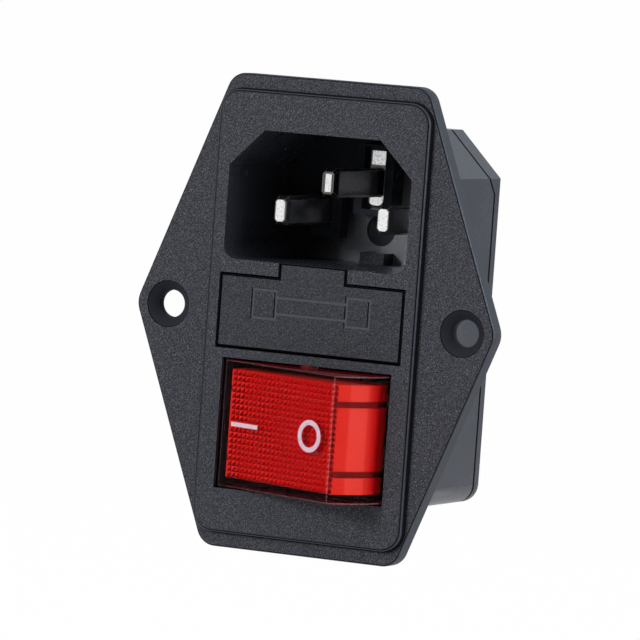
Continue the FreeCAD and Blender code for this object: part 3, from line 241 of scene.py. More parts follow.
CASE_GRAIN, DRAWER_GRAIN = 6800.0, 7400.0
SMOOTH_DARK, SMOOTH_PALE = (0.027, 0.029, 0.037), (0.034, 0.036, 0.046)
CASE_DARK, CASE_PALE = (0.005, 0.0048, 0.0055), (0.0125, 0.0118, 0.0135)
DRAWER_DARK, DRAWER_PALE = (0.002, 0.0018, 0.002), (0.009, 0.0085, 0.0095)
KEY_DARK, KEY_PALE = (0.008, 0.008, 0.009), (0.035, 0.035, 0.038)
# Painted light and shade on the inlet's back wall
WALL_MIDDLE, WALL_LIT = (0.046, 0.045, 0.049), (0.112, 0.11, 0.118)
# Dark tones: the seam, painted shade along edges and round the bezel, and painted shade on the walls of the
# drawer's symbol
SEAM_AND_EDGE_SHADE_TONE, BEZEL_EDGE_SHADE, DRAWER_GROOVE_SHADE = (0.006, 0.006, 0.0075), (0.01, 0.01, 0.012), (0.003, 0.003, 0.0035)
CASE_GRAIN_DEPTH, DRAWER_GRAIN_DEPTH = 0.04 * MM, 0.035 * MM
PLASTIC_GLOSS = 0.4
PLASTIC_TINT = (0.76, 0.85, 1.0)
ASKEW = (0.6, 0.4, 0.5)

# Limits of the finishes and of the painted light and shade on the case: the seam, the inlet and the pins'
# bosses in it, flange and bezel

BODY_END = 19.2 * MM
COVER_RIM_FRONT = 17.4 * MM
COVER_RIM_LOW, COVER_RIM_FULL = 16.1 * MM, 18.2 * MM
INLET_SIDE = 12.5 * MM
INLET_CORNER = 30.4 * MM
INLET_MIDDLE, INLET_REACH = 14.4 * MM, 8.1 * MM
INLET_MID_DEPTH, INLET_HALF_DEPTH = 6.4 * MM, 9.55 * MM
WALL_FACE = 15.4 * MM
BOSS_FACE = 12.75 * MM
KEY_TOP = 7.85 * MM
DIMPLE_HEIGHT, DIMPLE_RADIUS = 10.5 * MM, 1.95 * MM
GRAINED_UP_TO = -1.0 * MM
FLANGE_MIDDLE, FLANGE_REACH = -0.95 * MM, 1.02 * MM
HOLE_PLACE, HOLE_REACH = 20.0 * MM, 2.95 * MM
BEZEL_HALF_WIDTH, BEZEL_HALF_HEIGHT = 14.2 * MM, 27.25 * MM
BEZEL_MIDDLE, BEZEL_ROUND = -0.05 * MM, 2.7 * MM
BEZEL_SIDE, BEZEL_SIDE_FRONT, BEZEL_FOOT = -2.42 * MM, -2.9 * MM, -2.2 * MM
# Where the painted light on the inlet's back wall begins and where it is full
LIT_FROM, LIT_TO = -17.0 * MM, -9.0 * MM


class Moulding(Paint):
    """Black plastic in the making: spark-eroded, with painted glints, on its front faces, smooth on its
    edges and sides.
    """

    def __init__(self, name, grained_from, grain, dark, pale):
        super().__init__(name)
        self.width, self.depth, self.height = self.place.parts()
        self.set("Specular Tint", PLASTIC_TINT)
        askew = self.place.stretch((1, 1, 1), ASKEW)
        self.specks = askew.noise(grain, 1.0, 0.6)
        glints = askew.noise(grain * 0.8, 0.0, 0.5)
        patches = self.place.noise(330.0, 3.0, 0.6)
        front = self.specks.ramp((0.36, dark), (0.5, pale), (0.66, shade(pale, 4.0)))
        # Painted glints: sparse specks far paler than the grain.
        front = cover(front, glints.span(0.76, 0.84, 0.0, 0.7), shade(pale, 12.0))
        self.front = cover(front, patches.span(0.4, 0.7, 0.0, 0.12), shade(pale, 1.6))
        clouds = self.place.noise(140.0, 4.0, 0.55)
        self.smooth = clouds.ramp((0.3, SMOOTH_DARK), (0.7, SMOOTH_PALE))
        self.smooth_rough = clouds.span(0.3, 0.7, 0.22, 0.3)
        self.ahead = self.normal.toward((0, -1, 0))
        self.grained = self.ahead.span(0.965, 0.985) * self.depth.below(grained_from, SOFT)

    def rough(self):
        """Roughness of the smooth and the grained faces together."""
        return change(self.smooth_rough, self.grained, self.specks.span(0.35, 0.65, 0.8, 0.6))

    def relief(self, grain_depth):
        """Deep grain on the front faces and a trace of it elsewhere."""
        fine = self.place.noise(900.0, 3.0, 0.6)
        return change(fine.span(0.0, 1.0, 0.0, 0.12), self.grained, self.specks).bump(0.8, grain_depth)


def hypotenuse(aside, over):
    return (aside ** 2.0 + over ** 2.0).step("SQRT")


def inside_inlet(width, depth, height):
    """The walls of the inlet's cavity."""
    aside = abs(width)
    across = aside.below(INLET_SIDE, 0.1 * MM) * (aside + height).below(INLET_CORNER, 0.1 * MM)
    upright = height.near(INLET_MIDDLE, INLET_REACH, SOFT)
    return across * upright * depth.near(INLET_MID_DEPTH, INLET_HALF_DEPTH, SOFT)


def dimple_floor(width, depth, height):
    """The sunk disc in the inlet's back wall."""
    away = hypotenuse(width, height - DIMPLE_HEIGHT)
    return away.below(DIMPLE_RADIUS - SOFT, 0.07 * MM) * depth.above(WALL_FACE + SOFT, 0.15 * MM)


def seam_line(depth, height):
    """Where the rear cover meets the housing: a straight joint with a slanted step near the top."""
    place = height.span(COVER_RIM_LOW, COVER_RIM_FULL, BODY_END, COVER_RIM_FRONT)
    return (depth - place).near(0.0, 0.19 * MM, 0.08 * MM)


def past_bezel(width, height):
    """How far a place lies outside the bezel's rounded outline."""
    aside = abs(width) - (BEZEL_HALF_WIDTH - BEZEL_ROUND)
    over = abs(height - BEZEL_MIDDLE) - (BEZEL_HALF_HEIGHT - BEZEL_ROUND)
    return hypotenuse(aside | 0.0, over | 0.0) - BEZEL_ROUND


def case_moulding():
    """Housing and rear cover: painted shade in the inlet and the holes, a painted pool of light on the
    inlet's back wall, dark lines of painted shade round the bezel and along edges, and a dark seam.
    """
    paint = Moulding("case_plastic", GRAINED_UP_TO, CASE_GRAIN, CASE_DARK, CASE_PALE)
    width, depth, height = paint.width, paint.depth, paint.height
    forward = paint.ahead.span(-0.6, -0.5)
    # The inlet's walls get a darker tone: painted shade.
    cavity = forward * inside_inlet(width, depth, height)
    bosses = cavity * depth.near(BOSS_FACE, 0.6 * MM, SOFT) * paint.ahead.span(0.9, 0.95)
    key = bosses * height.below(KEY_TOP, SOFT)
    key_tone = paint.specks.ramp((0.35, KEY_DARK), (0.65, KEY_PALE))
    # The dimple's floor and the bosses are matt, and get a dark tone of painted shade.
    matt_and_shaded = forward * dimple_floor(width, depth, height) | bosses
    flange_side = cavity.opposite() * depth.near(FLANGE_MIDDLE, FLANGE_REACH, 0.03 * MM)
    # The holes' walls get a dark tone: painted shade.
    bore = forward * abs(width).near(HOLE_PLACE, HOLE_REACH, SOFT) * height.near(0.0, HOLE_REACH, SOFT)
    # The inlet's back wall gets a painted pool of light towards its lower right, fading to painted shade at
    # its upper left.
    wall = cavity * depth.above(WALL_FACE - 0.1 * MM, SOFT) * matt_and_shaded.opposite()
    toward_lit_corner = (width - height).span(LIT_FROM, LIT_TO)
    wall_painted_light = toward_lit_corner.ramp((0.0, shade(SMOOTH_DARK, 0.4)), (0.35, WALL_MIDDLE), (0.75, WALL_LIT))
    plain = cavity.opposite() * paint.grained.opposite()
    # The seam is a dark joint; the front edges' lips and the bezel's sides get the same dark tone as painted
    # shade.
    lips = depth.near(FRONT, 0.12 * MM, CRISP) | depth.near(BEZEL_SIDE, 0.3 * MM, 0.03 * MM)
    seam_and_edge_shade = seam_line(depth, height) | plain * lips
    # Painted shadow on the flange at the bezel's foot, and painted shade just inside the bezel's rounded
    # front edge.
    past = past_bezel(width, height)
    bezel_foot_shadow = past.near(0.06 * MM, 0.1 * MM, 0.08 * MM) * depth.near(BEZEL_FOOT, 0.1 * MM, CRISP)
    bezel_rim_shade = past.near(-0.29 * MM, 0.06 * MM, SOFT) * depth.near(FRONT, SOFT, CRISP)
    upright = plain * depth.near(BEZEL_SIDE_FRONT, 0.25 * MM, SOFT)
    smooth = paint.smooth
    for mask, tone in ((cavity, shade(SMOOTH_DARK, 0.85)), (matt_and_shaded, shade(SMOOTH_DARK, 0.5)), (key, key_tone),
                       (flange_side, shade(SMOOTH_DARK, 0.8)), (bore, shade(SMOOTH_DARK, 0.4)),
                       (wall, wall_painted_light), (seam_and_edge_shade, SEAM_AND_EDGE_SHADE_TONE)):
        smooth = cover(smooth, mask, tone)
    paint.smooth_rough |= matt_and_shaded * 0.9 | flange_side * 0.55 | bore * 0.7 | seam_and_edge_shade
    dull = cavity * toward_lit_corner.span(0.0, 1.0, 0.8, 0.2) | bore * plain * 0.5 | upright * 0.5 | seam_and_edge_shade | bezel_foot_shadow
    paint.set("Specular IOR Level", dull.span(0.0, 1.0, PLASTIC_GLOSS, 0.0))
    colour = cover(cover(smooth, paint.grained, paint.front), bezel_foot_shadow | bezel_rim_shade, BEZEL_EDGE_SHADE)
    return paint.finish(colour, paint.rough(), paint.relief(CASE_GRAIN_DEPTH))


def drawer_moulding():
    """Fuse drawer: finer grain, pale floors in the symbol's lines, and painted dark shade on their walls."""
    paint = Moulding("drawer_plastic", FRONT + 0.08 * MM, DRAWER_GRAIN, DRAWER_DARK, DRAWER_PALE)
    floors = paint.depth.near(FRONT + SYMBOL_DEPTH, 0.04 * MM, 0.01 * MM)
    floor_tone = paint.specks.ramp((0.3, shade(DRAWER_PALE, 3.0)), (0.7, shade(DRAWER_PALE, 4.0)))
    # Painted shade on the walls of the symbol's lines.
    shaded = paint.depth.near(FRONT + 0.1 * MM, 0.085 * MM, CRISP) * paint.ahead.span(0.8, 0.9, 1.0, 0.0)
    colour = cover(paint.smooth, paint.grained, paint.front)
    colour = cover(cover(colour, floors, floor_tone), shaded, DRAWER_GROOVE_SHADE)
    rough = change(paint.rough(), floors, paint.specks.span(0.3, 0.7, 0.5, 0.42))
    paint.set("Specular IOR Level", shaded.span(0.0, 1.0, PLASTIC_GLOSS, 0.0))
    return paint.finish(colour, rough, paint.relief(DRAWER_GRAIN_DEPTH))


def plain_moulding(name, colour):
    """Plain plastic of a part inside the switch."""
    paint = Paint(name)
    clouds = paint.place.noise(500.0, 4.0, 0.6)
    relief = paint.place.noise(2600.0, 2.0, 0.5).bump(0.3, 0.01 * MM)
    tone = clouds.ramp((0.3, shade(colour, 0.8)), (0.7, shade(colour, 1.2)))
    return paint.finish(tone, clouds.span(0.3, 0.7, 0.4, 0.55), relief)


case_plastic = case_moulding()
drawer_plastic = drawer_moulding()
carrier_plastic = plain_moulding("carrier_plastic", (0.02, 0.02, 0.022))

# Metals

TIP_MIDDLE, TIP_HALF_WIDTH = 0.05 * MM, 0.36 * MM
TIP_HEIGHT, TIP_HALF_HEIGHT = 16.6 * MM, 1.05 * MM
SHOULDER_LEFT, SHOULDER_FRONT = -0.85 * MM, 0.3 * MM
JOINT_HEIGHT, JOINT_HALF = 18.58 * MM, 0.17 * MM
PIN_SHADE = (0.1, 0.095, 0.09)
NICKEL, NICKEL_DULL = (0.9, 0.89, 0.87), (0.5, 0.49, 0.47)
DRAWN = (1500.0, 300.0, 1500.0)
NICKEL_GRIT = 3200.0


def earth_shine(place):
    """Where the earth pin gets a painted highlight: a window on its tip, and its shoulder on both sides of a
    joint.
    """
    across, depth, height = place.parts()
    tip = across.near(TIP_MIDDLE, TIP_HALF_WIDTH, 0.08 * MM)
    tip *= height.near(TIP_HEIGHT, TIP_HALF_HEIGHT, 0.1 * MM)
    shoulder = depth.above(SHOULDER_FRONT, 0.2 * MM) * across.above(SHOULDER_LEFT, SOFT)
    joint = height.near(JOINT_HEIGHT, JOINT_HALF, SOFT)
    return tip | shoulder * joint.opposite()


def metal(name, tone, dull, smooth, rough, brush, grit=900.0, shine=None):
    """Bare or plated metal with drawing marks and small stains, with painted shade outside its painted
    highlight if it has one.
    """
    paint = Paint(name)
    marks = paint.place.stretch(brush).noise(1.0, 3.0, 0.6)
    stains = paint.place.noise(grit, 3.0, 0.55)
    colour = stains.ramp((0.28, dull), (0.5, tone))
    # Painted shade over the metal outside its painted highlight.
    if shine is not None:
        colour = cover(PIN_SHADE, shine(paint.place), colour)
    paint.set("Metallic", 1.0)
    return paint.finish(colour, stains.span(0.3, 0.7, rough, smooth), marks.bump(0.25, 0.004 * MM))


plated = metal("nickel_plate", NICKEL, NICKEL_DULL, smooth=0.14, rough=0.24, brush=DRAWN, grit=NICKEL_GRIT)
earth_plate = metal("earth_plate", NICKEL, NICKEL_DULL, smooth=0.14, rough=0.24, brush=DRAWN,
                    grit=NICKEL_GRIT, shine=earth_shine)
cap_metal = metal("cap_metal", (0.88, 0.88, 0.87), (0.66, 0.65, 0.63), smooth=0.16, rough=0.34,
                  brush=(600.0, 1800.0, 1800.0))
tinned_wire = metal("tinned_wire", (0.8, 0.79, 0.77), (0.55, 0.53, 0.5), smooth=0.25, rough=0.45,
                    brush=(1200.0, 1200.0, 1200.0))
spring_steel = metal("spring_steel", (0.6, 0.6, 0.62), (0.4, 0.4, 0.42), smooth=0.24, rough=0.4,
                     brush=(1500.0, 1500.0, 1500.0))
brass = metal("brass", (0.5, 0.35, 0.17), (0.24, 0.17, 0.08), smooth=0.3, rough=0.5, brush=DRAWN)
# Dark metal for the pins' rounded edges: painted shade.
pin_edge_shade = metal("pin_edge_shade", (0.2, 0.19, 0.18), (0.12, 0.11, 0.1), smooth=0.4, rough=0.55,
                     brush=DRAWN)

# Glass and clear plastic

CLEAR_IOR = 1.49
CAP_SIDES_FROM, CAP_FACE_FROM = 7.7 * MM, -5.0 * MM
RIDGE_PLACE, PRESSED_EDGE_PLACE = 9.67 * MM, -9.72 * MM
SCRATCH_STRETCH, SCRATCH_TURN = (1400.0, 1400.0, 2600.0), (0.5, 0.3, 0.4)
SMOKE_DARK, SMOKE_PALE = (0.016, 0.004, 0.005), (0.026, 0.008, 0.009)
# Paler tones for the painted highlights on the edges and the real scuffs, and the painted highlight on the
# ridge
HIGHLIGHT_AND_WEAR_DARK, HIGHLIGHT_AND_WEAR_PALE = (0.5, 0.36, 0.37), (0.7, 0.55, 0.56)
# The cap's side walls get a red tone: painted light from the lens beneath.
RIDGE_HIGHLIGHT_TONE, CAP_SIDE_RED_LIGHT = (0.95, 0.3, 0.27), (0.16, 0.006, 0.008)


def waves(place):
    """The slight waviness of a moulded clear surface."""
    return place.noise(220.0, 1.0, 0.5).bump(0.05, 0.05 * MM)


def clear(name, colour, alpha, smooth, rough):
    """A clear shell: mostly see-through, with fine haze in its polish."""
    paint = Paint(name)
    cloud = paint.place.noise(350.0, 4.0, 0.6)
    tone = cloud.ramp((0.35, colour), (0.75, shade(colour, 1.1)))
    paint.set("Alpha", alpha)
    paint.set("IOR", CLEAR_IOR)
    paint.set("Specular IOR Level", 1.0)
    return paint.finish(tone, cloud.span(0.35, 0.7, smooth, rough), waves(paint.place))


def rocker_axes(place):
    """Coordinates along the rocker's own axes, from its pivot."""
    return place.moved(PIVOT).stretch((1, 1, 1), (0, 0, -ROCKER_LEAN))


def smoky():
    """Clear smoky acrylic, with painted highlights along its rounded edges and ridge, and paler where it is
    scuffed.
    """
    paint = Paint("smoky_cap")
    across, depth, height = rocker_axes(paint.place).parts()
    cloud = paint.place.noise(420.0, 4.0, 0.6)
    side = abs(height)
    face = depth.below(CAP_FACE_FROM, 0.15 * MM)
    ridge_highlight = across.near(RIDGE_PLACE, 0.025 * MM, 0.06 * MM) * face
    pressed_edge = across.near(PRESSED_EDGE_PLACE, 0.02 * MM, SOFT) * face
    long_edge = side.near(CAP_SIDES_FROM - 0.04 * MM, 0.03 * MM, 0.04 * MM)
    long_edge *= depth.above(CAP_FACE_FROM - 0.16 * MM, 0.06 * MM)
    # Painted highlights along the ridge and the rounded edges; the scratches are real scuffs.
    edges = ridge_highlight * 0.62 | (long_edge | pressed_edge * 0.7) * 0.5
    scratches = paint.place.stretch(SCRATCH_STRETCH, SCRATCH_TURN).noise(1.0, 2.0, 0.5)
    pale = edges | scratches.span(0.73, 0.77, 0.0, 0.5)
    tone = cloud.ramp((0.35, SMOKE_DARK), (0.75, SMOKE_PALE))
    highlight_and_wear = cover(cloud.ramp((0.3, HIGHLIGHT_AND_WEAR_DARK), (0.7, HIGHLIGHT_AND_WEAR_PALE)), ridge_highlight, RIDGE_HIGHLIGHT_TONE)
    # The cap's side walls are painted red and nearly opaque: painted light from the red lens beneath.
    walls = side.above(CAP_SIDES_FROM, 0.03 * MM) * depth.above(CAP_FACE_FROM - 0.1 * MM, SOFT)
    colour = cover(cover(tone, pale, highlight_and_wear), walls, CAP_SIDE_RED_LIGHT)
    paint.set("Alpha", pale.span(0.0, 1.0, 0.12, 0.55) | walls * 0.8)
    paint.set("IOR", CLEAR_IOR)
    paint.set("Specular IOR Level", 0.25)
    return paint.finish(colour, cloud.span(0.35, 0.7, 0.04, 0.1), waves(paint.place))


fuse_glass = clear("fuse_glass", (0.8, 0.86, 0.84), alpha=0.16, smooth=0.02, rough=0.06)
lamp_glass = clear("lamp_glass", (0.85, 0.45, 0.25), alpha=0.3, smooth=0.04, rough=0.1)
smoky_cap = smoky()

# Red plastic, print and lacquer

# The way the painted light on the prism facets comes from
LIT_SIDE = Matrix.Rotation(ROCKER_LEAN, 3, "Z") @ Vector((-0.74, 0, 0.67))
RED_DARK, RED_PALE = (0.8, 0.02, 0.012), (0.86, 0.028, 0.017)
# Painted reflection of a softbox in a band along the rounded end
BAND_FRONT, BAND_BACK = -2.8 * MM, -0.1 * MM
REFLECTION_BAND_DARK, REFLECTION_BAND_PALE = (0.92, 0.045, 0.03), (0.97, 0.056, 0.038)
# Painted shade deepening along the rounded end, and a painted highlight at its lip
END_DEPTH = 2.9 * MM
END_TOP, END_MIDDLE = (0.8, 0.03, 0.02), (0.68, 0.01, 0.008)
END_SHADE, END_LIP_HIGHLIGHT = (0.42, 0.001, 0.002), (0.85, 0.012, 0.01)
# Painted shade in the lens's grooves
GROOVE_SHADE_DARK, GROOVE_SHADE_PALE = (0.2, 0.006, 0.007), (0.26, 0.009, 0.009)
# Painted light and shade on the sheet's facets, fading across the sheet, and a painted highlight near its
# right end
FACET_DARK, FACET_DIM = (0.1, 0.0, 0.0), (0.36, 0.0, 0.0)
FACET_CLEAR, FACET_BRIGHT = (0.75, 0.002, 0.001), (1.0, 0.016, 0.01)
SHEET_DARK, SHEET_PALE = (0.5, 0.0005, 0.0005), (0.57, 0.001, 0.001)
SHEET_END_HIGHLIGHT = (0.85, 0.06, 0.055)
FADE_LEFT, FADE_RIGHT = -5.0 * MM, 4.0 * MM
PALE_FROM, PALE_FULL = 8.1 * MM, 9.1 * MM
CONTRAST_DROP = -7.05 * MM


def resin(paint, colour, flow):
    """Moulded red plastic without gloss, under a fine matt texture."""
    paint.set("Specular IOR Level", 0.0)
    relief = paint.place.noise(1200.0, 2.0, 0.5).bump(0.1, 0.01 * MM)
    return paint.finish(colour, flow.span(0.3, 0.7, 0.3, 0.42), relief)


def red_resin():
    """Translucent red moulding: a painted reflection in a band along its rounded end, painted shade that
    deepens further along the end with a painted highlight at its lip, and painted shade in its grooves.
    """
    paint = Paint("red_resin")
    depth = rocker_axes(paint.place).parts()[1]
    height = paint.place.parts()[2]
    flow = paint.place.noise(160.0, 3.0, 0.5)
    colour = flow.ramp((0.3, RED_DARK), (0.7, RED_PALE))
    # A paler band on the rounded end: painted reflection.
    reflection_band = depth.above(BAND_FRONT, 0.1 * MM) * depth.below(BAND_BACK, 0.1 * MM)
    reflection_band_tone = flow.ramp((0.3, REFLECTION_BAND_DARK), (0.7, REFLECTION_BAND_PALE))
    # The rounded end grows darker with painted shade, then has a painted highlight at its lip.
    end = depth.above(0.0, SOFT)
    end_shading = depth.span(0.0, END_DEPTH).ramp((0.0, END_TOP), (0.35, END_MIDDLE), (0.7, END_SHADE),
                                               (0.82, END_SHADE), (0.92, END_LIP_HIGHLIGHT))
    # The grooves get a darker red: painted shade.
    groove = abs(height - PIVOT.z).near(GROOVE_PLACE, GROOVE_HALF - 0.03 * MM, SOFT)
    groove_shade = flow.ramp((0.3, GROOVE_SHADE_DARK), (0.7, GROOVE_SHADE_PALE))
    for mask, tone in ((reflection_band, reflection_band_tone), (end, end_shading), (groove, groove_shade)):
        colour = cover(colour, mask, tone)
    return resin(paint, colour, flow)


def prisms_red():
    """The prismatic sheet, with painted light and shade on its facets: those that look up and left are
    bright, those that look down are dark, the painting grows weaker across the sheet, and facets near its
    right end get a painted highlight.
    """
    paint = Paint("prism_red")
    across = rocker_axes(paint.place).parts()[0]
    flow = paint.place.noise(420.0, 2.0, 0.5)
    lit = paint.normal.toward(LIT_SIDE)
    facet_shading = (lit + 0.5).ramp((0.1, FACET_DARK), (0.2, FACET_DIM), (0.8, FACET_CLEAR), (0.88, FACET_BRIGHT))
    plain = flow.ramp((0.3, SHEET_DARK), (0.7, SHEET_PALE))
    shading_strength = across.span(CONTRAST_DROP, CONTRAST_DROP + 0.15 * MM, 1.0, 0.75)
    shading_strength *= across.span(FADE_LEFT, FADE_RIGHT, 1.0, 0.6) * flow.span(0.35, 0.65, 0.55, 1.1)
    ridge_highlight = across.span(PALE_FROM, PALE_FULL, 0.0, 0.8) * lit.span(-0.1, 0.3)
    return resin(paint, cover(cover(plain, shading_strength, facet_shading), ridge_highlight, SHEET_END_HIGHLIGHT), flow)


def mottled(name, pattern, dark, pale, roughness, strength, level=0.5):
    """A colour that drifts to another in small clouds, which are also its roughness and relief."""
    paint = Paint(name)
    clouds = paint.place.noise(*pattern)
    paint.set("Specular IOR Level", level)
    relief = clouds.bump(strength, 0.01 * MM)
    return paint.finish(clouds.ramp(dark, pale), clouds.span(0.3, 0.7, *roughness), relief)


red = red_resin()
prism_red = prisms_red()
deep_red = mottled("deep_red", (900.0, 2.0, 0.5), (0.3, (0.17, 0.001, 0.002)), (0.7, (0.27, 0.002, 0.003)),
                   roughness=(0.4, 0.55), strength=0.1, level=0.0)
ink = mottled("white_ink", (2400.0, 3.0, 0.6), (0.3, (0.38, 0.26, 0.31)), (0.5, (0.52, 0.36, 0.42)),
              roughness=(0.5, 0.65), strength=0.2)
tan = mottled("tan_lacquer", (1500.0, 3.0, 0.6), (0.3, (0.36, 0.22, 0.11)), (0.6, (0.55, 0.38, 0.21)),
              roughness=(0.3, 0.45), strength=0.2)

# Finishes and rounded edges of the CAD parts

SAME_PLACE = 1e-6
EDGE_ANGLE = math.radians(38)
DRESS = (
    (case_plastic, ("housing", "rear_cover")),
    (drawer_plastic, ("fuse_drawer",)),
    (smoky_cap, ("rocker_cap",)),
    (red, ("rocker_lens",)),
    (carrier_plastic, ("rocker_carrier",)),
    (lamp_glass, ("glow_lamp",)),
    (tan, ("lamp_resistor",)),
    (fuse_glass, ("fuse_tube", "spare_fuse_tube")),
    (earth_plate, ("earth_pin",)),
    (plated, ("live_pin", "neutral_pin", "fuse_clip_inlet", "fuse_clip_outlet", "switch_inlet_live",
              "switch_inlet_neutral", "switch_outlet_live", "switch_outlet_neutral")),
    (cap_metal, ("fuse_cap_left", "fuse_cap_right", "spare_fuse_cap_left", "spare_fuse_cap_right")),
    (tinned_wire, ("fuse_wire", "spare_fuse_wire", "lamp_lead_live", "lamp_lead_link", "lamp_lead_neutral")),
    (spring_steel, ("plunger_spring_live", "plunger_spring_neutral")),
    (brass, ("plunger_live", "plunger_neutral", "contact_blade_live", "contact_blade_neutral")),
)
for mat, names in DRESS:
    for name in names:
        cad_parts[name].data.materials.clear()
        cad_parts[name].data.materials.append(mat)


def round_edges(piece, width, slot=-1):
    """Rounds the sharp edges a little; a slot gives the rounding another material of the piece."""
    edge = piece.modifiers.new("soft_edges", "BEVEL")
    edge.width = width
    edge.segments = 2
    edge.limit_method = "ANGLE"
    edge.angle_limit = EDGE_ANGLE
    edge.material = slot


def join_corners(piece):
    """Joins the corners that the faces of a CAD part share."""
    weld = piece.modifiers.new("weld", "WELD")
    weld.merge_threshold = SAME_PLACE


for name, width in (("housing", 0.09 * MM), ("rear_cover", 0.12 * MM)):
    join_corners(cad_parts[name])
    round_edges(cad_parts[name], width)
# The pins' rounded edges take the dark metal of painted shade.
for name, width in (("live_pin", 0.24 * MM), ("neutral_pin", 0.24 * MM), ("earth_pin", 0.4 * MM)):
    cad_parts[name].data.materials.append(pin_edge_shade)
    join_corners(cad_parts[name])
    round_edges(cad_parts[name], width, 1)


# Building meshes

def place_piece(name, mesh, mat, body):
    """Puts a mesh in the scene as a piece that rides on a body."""
    piece = bpy.data.objects.new(name, mesh)
    bpy.context.scene.collection.objects.link(piece)
    mesh.materials.clear()
    mesh.materials.append(mat)
    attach(piece, body)
    return piece


def new_mesh(name, bm):
    """Makes a mesh of drawn faces, with their fronts outward."""
    mesh = bpy.data.meshes.new(name)
    bmesh.ops.recalc_face_normals(bm, faces=bm.faces)
    bm.to_mesh(mesh)
    bm.free()
    return mesh


def rocker_piece(name, bm, mat):
    """Makes a piece drawn along the rocker's own axes, and turns it to where the rocker rests."""
    mesh = new_mesh(name, bm)
    mesh.transform(ROCKER)
    return place_piece(name, mesh, mat, "rocker")


def add_slab(bm, points, top, foot):
    """A flat slab between two levels across Y from an outline of X and Z pairs."""
    tops = [bm.verts.new((x, top, z)) for x, z in points]
    feet = [bm.verts.new((x, foot, z)) for x, z in points]
    bm.faces.new(tops)
    bm.faces.new(feet[::-1])
    for i in range(len(points)):
        j = (i + 1) % len(points)
        bm.faces.new((tops[j], tops[i], feet[i], feet[j]))


def add_ring(bm, outer, inner, top, foot):
    """A closed frame between two outlines of the same count, from one level across Y to another."""
    loops = [[bm.verts.new((x, level, z)) for x, z in points]
             for level, points in ((top, outer), (top, inner), (foot, inner), (foot, outer))]
    for first, second in zip(loops, loops[1:] + loops[:1]):
        for i in range(len(outer)):
            j = (i + 1) % len(outer)
            bm.faces.new((first[i], first[j], second[j], second[i]))


def rectangle(left, right, low, high):
    """Outline of a rectangle, as X and Z pairs."""
    return [(left, low), (right, low), (right, high), (left, high)]


def oval(middle, half_width, half_height):
    """Outline of an oval, as X and Z pairs."""
    steps = 72
    angles = [2 * math.pi * i / steps for i in range(steps)]
    return [(middle[0] + half_width * math.cos(a), middle[1] + half_height * math.sin(a)) for a in angles]


def round_rectangle(left, right, low, high, radius):
    """Outline of a rectangle whose corners are quarter circles."""
    points = []
    steps = 4
    for quarter, (x, z) in enumerate(rectangle(right - radius, left + radius, high - radius, low + radius)):
        for i in range(steps + 1):
            angle = math.pi / 2 * (quarter + i / steps)
            points.append((x + radius * math.cos(angle), z + radius * math.sin(angle)))
    return points


def cut_from(piece, name, bm):
    """Takes a closed shape out of a piece and keeps the result as its mesh."""
    tool = bpy.data.objects.new(name, new_mesh(name, bm))
    bpy.context.scene.collection.objects.link(tool)
    cutter = piece.modifiers.new(name, "BOOLEAN")
    cutter.operation = "DIFFERENCE"
    cutter.solver = "EXACT"
    cutter.object = tool
    graph = bpy.context.evaluated_depsgraph_get()
    result = bpy.data.meshes.new_from_object(piece.evaluated_get(graph))
    piece.modifiers.clear()
    old = piece.data
    piece.data = result
    bpy.data.meshes.remove(old)
    bpy.data.objects.remove(tool)


# Fuse drawer, with the fuse symbol sunk in its face: two end caps and the two lines of the tube

LINE = 0.39 * MM
END_LOW, END_HIGH = -0.71 * MM, 3.15 * MM
END_IN, END_OUT = 4.6 * MM, 8.1 * MM
TUBE_LOW, TUBE_HIGH = -0.02 * MM, 2.36 * MM
CUT_TOP, CUT_FOOT = FRONT - LINE, FRONT + SYMBOL_DEPTH

bm = bmesh.new()
bm.from_mesh(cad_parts["fuse_drawer"].data)
bmesh.ops.remove_doubles(bm, verts=bm.verts, dist=SAME_PLACE)
bmesh.ops.dissolve_limit(bm, angle_limit=math.radians(1), verts=bm.verts, edges=bm.edges)
mesh = bpy.data.meshes.new("drawer_moulding")
bm.to_mesh(mesh)
bm.free()
drawer = place_piece("drawer_moulding", mesh, drawer_plastic, "drawer")
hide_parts("fuse_drawer")
for polygon in drawer.data.polygons:
    polygon.use_smooth = False
ends = bmesh.new()
for left, right in ((-END_OUT, -END_IN), (END_IN, END_OUT)):
    add_ring(ends, rectangle(left, right, END_LOW, END_HIGH),
             rectangle(left + LINE, right - LINE, END_LOW + LINE, END_HIGH - LINE), CUT_TOP, CUT_FOOT)
cut_from(drawer, "end_cap_lines", ends)
lines = bmesh.new()
for low in (TUBE_LOW, TUBE_HIGH - LINE):
    add_slab(lines, rectangle(-END_IN - LINE / 2, END_IN + LINE / 2, low, low + LINE), CUT_TOP, CUT_FOOT)
cut_from(drawer, "tube_lines", lines)
round_edges(drawer, 0.05 * MM)

# Rocker: the prismatic sheet under the clear cap, with its toothed cut edge

PITCH_X, PITCH_Z = 0.78 * MM, 0.69 * MM
SHEET_LEFT, SHEET_RIGHT = -9.3 * MM, 9.1 * MM
SHEET_HALF = 6.62 * MM
SHEET_FOOT = -LENS_FACE - 0.02 * MM
SHEET_VALLEY = -LENS_FACE - 0.05 * MM
SHEET_PEAK = -CAP_INNER_FACE + 0.03 * MM
TOOTH = 0.45 * MM
COLUMNS = round((SHEET_RIGHT - SHEET_LEFT) / PITCH_X)
ROWS = round(2 * SHEET_HALF / PITCH_Z)
STEP_X = (SHEET_RIGHT - SHEET_LEFT) / COLUMNS
STEP_Z = 2 * SHEET_HALF / ROWS


def sheet_point(bm, column, row, level):
    """A corner of the sheet, counted in prisms from its lower left."""
    return bm.verts.new((SHEET_LEFT + column * STEP_X, level, -SHEET_HALF + row * STEP_Z))


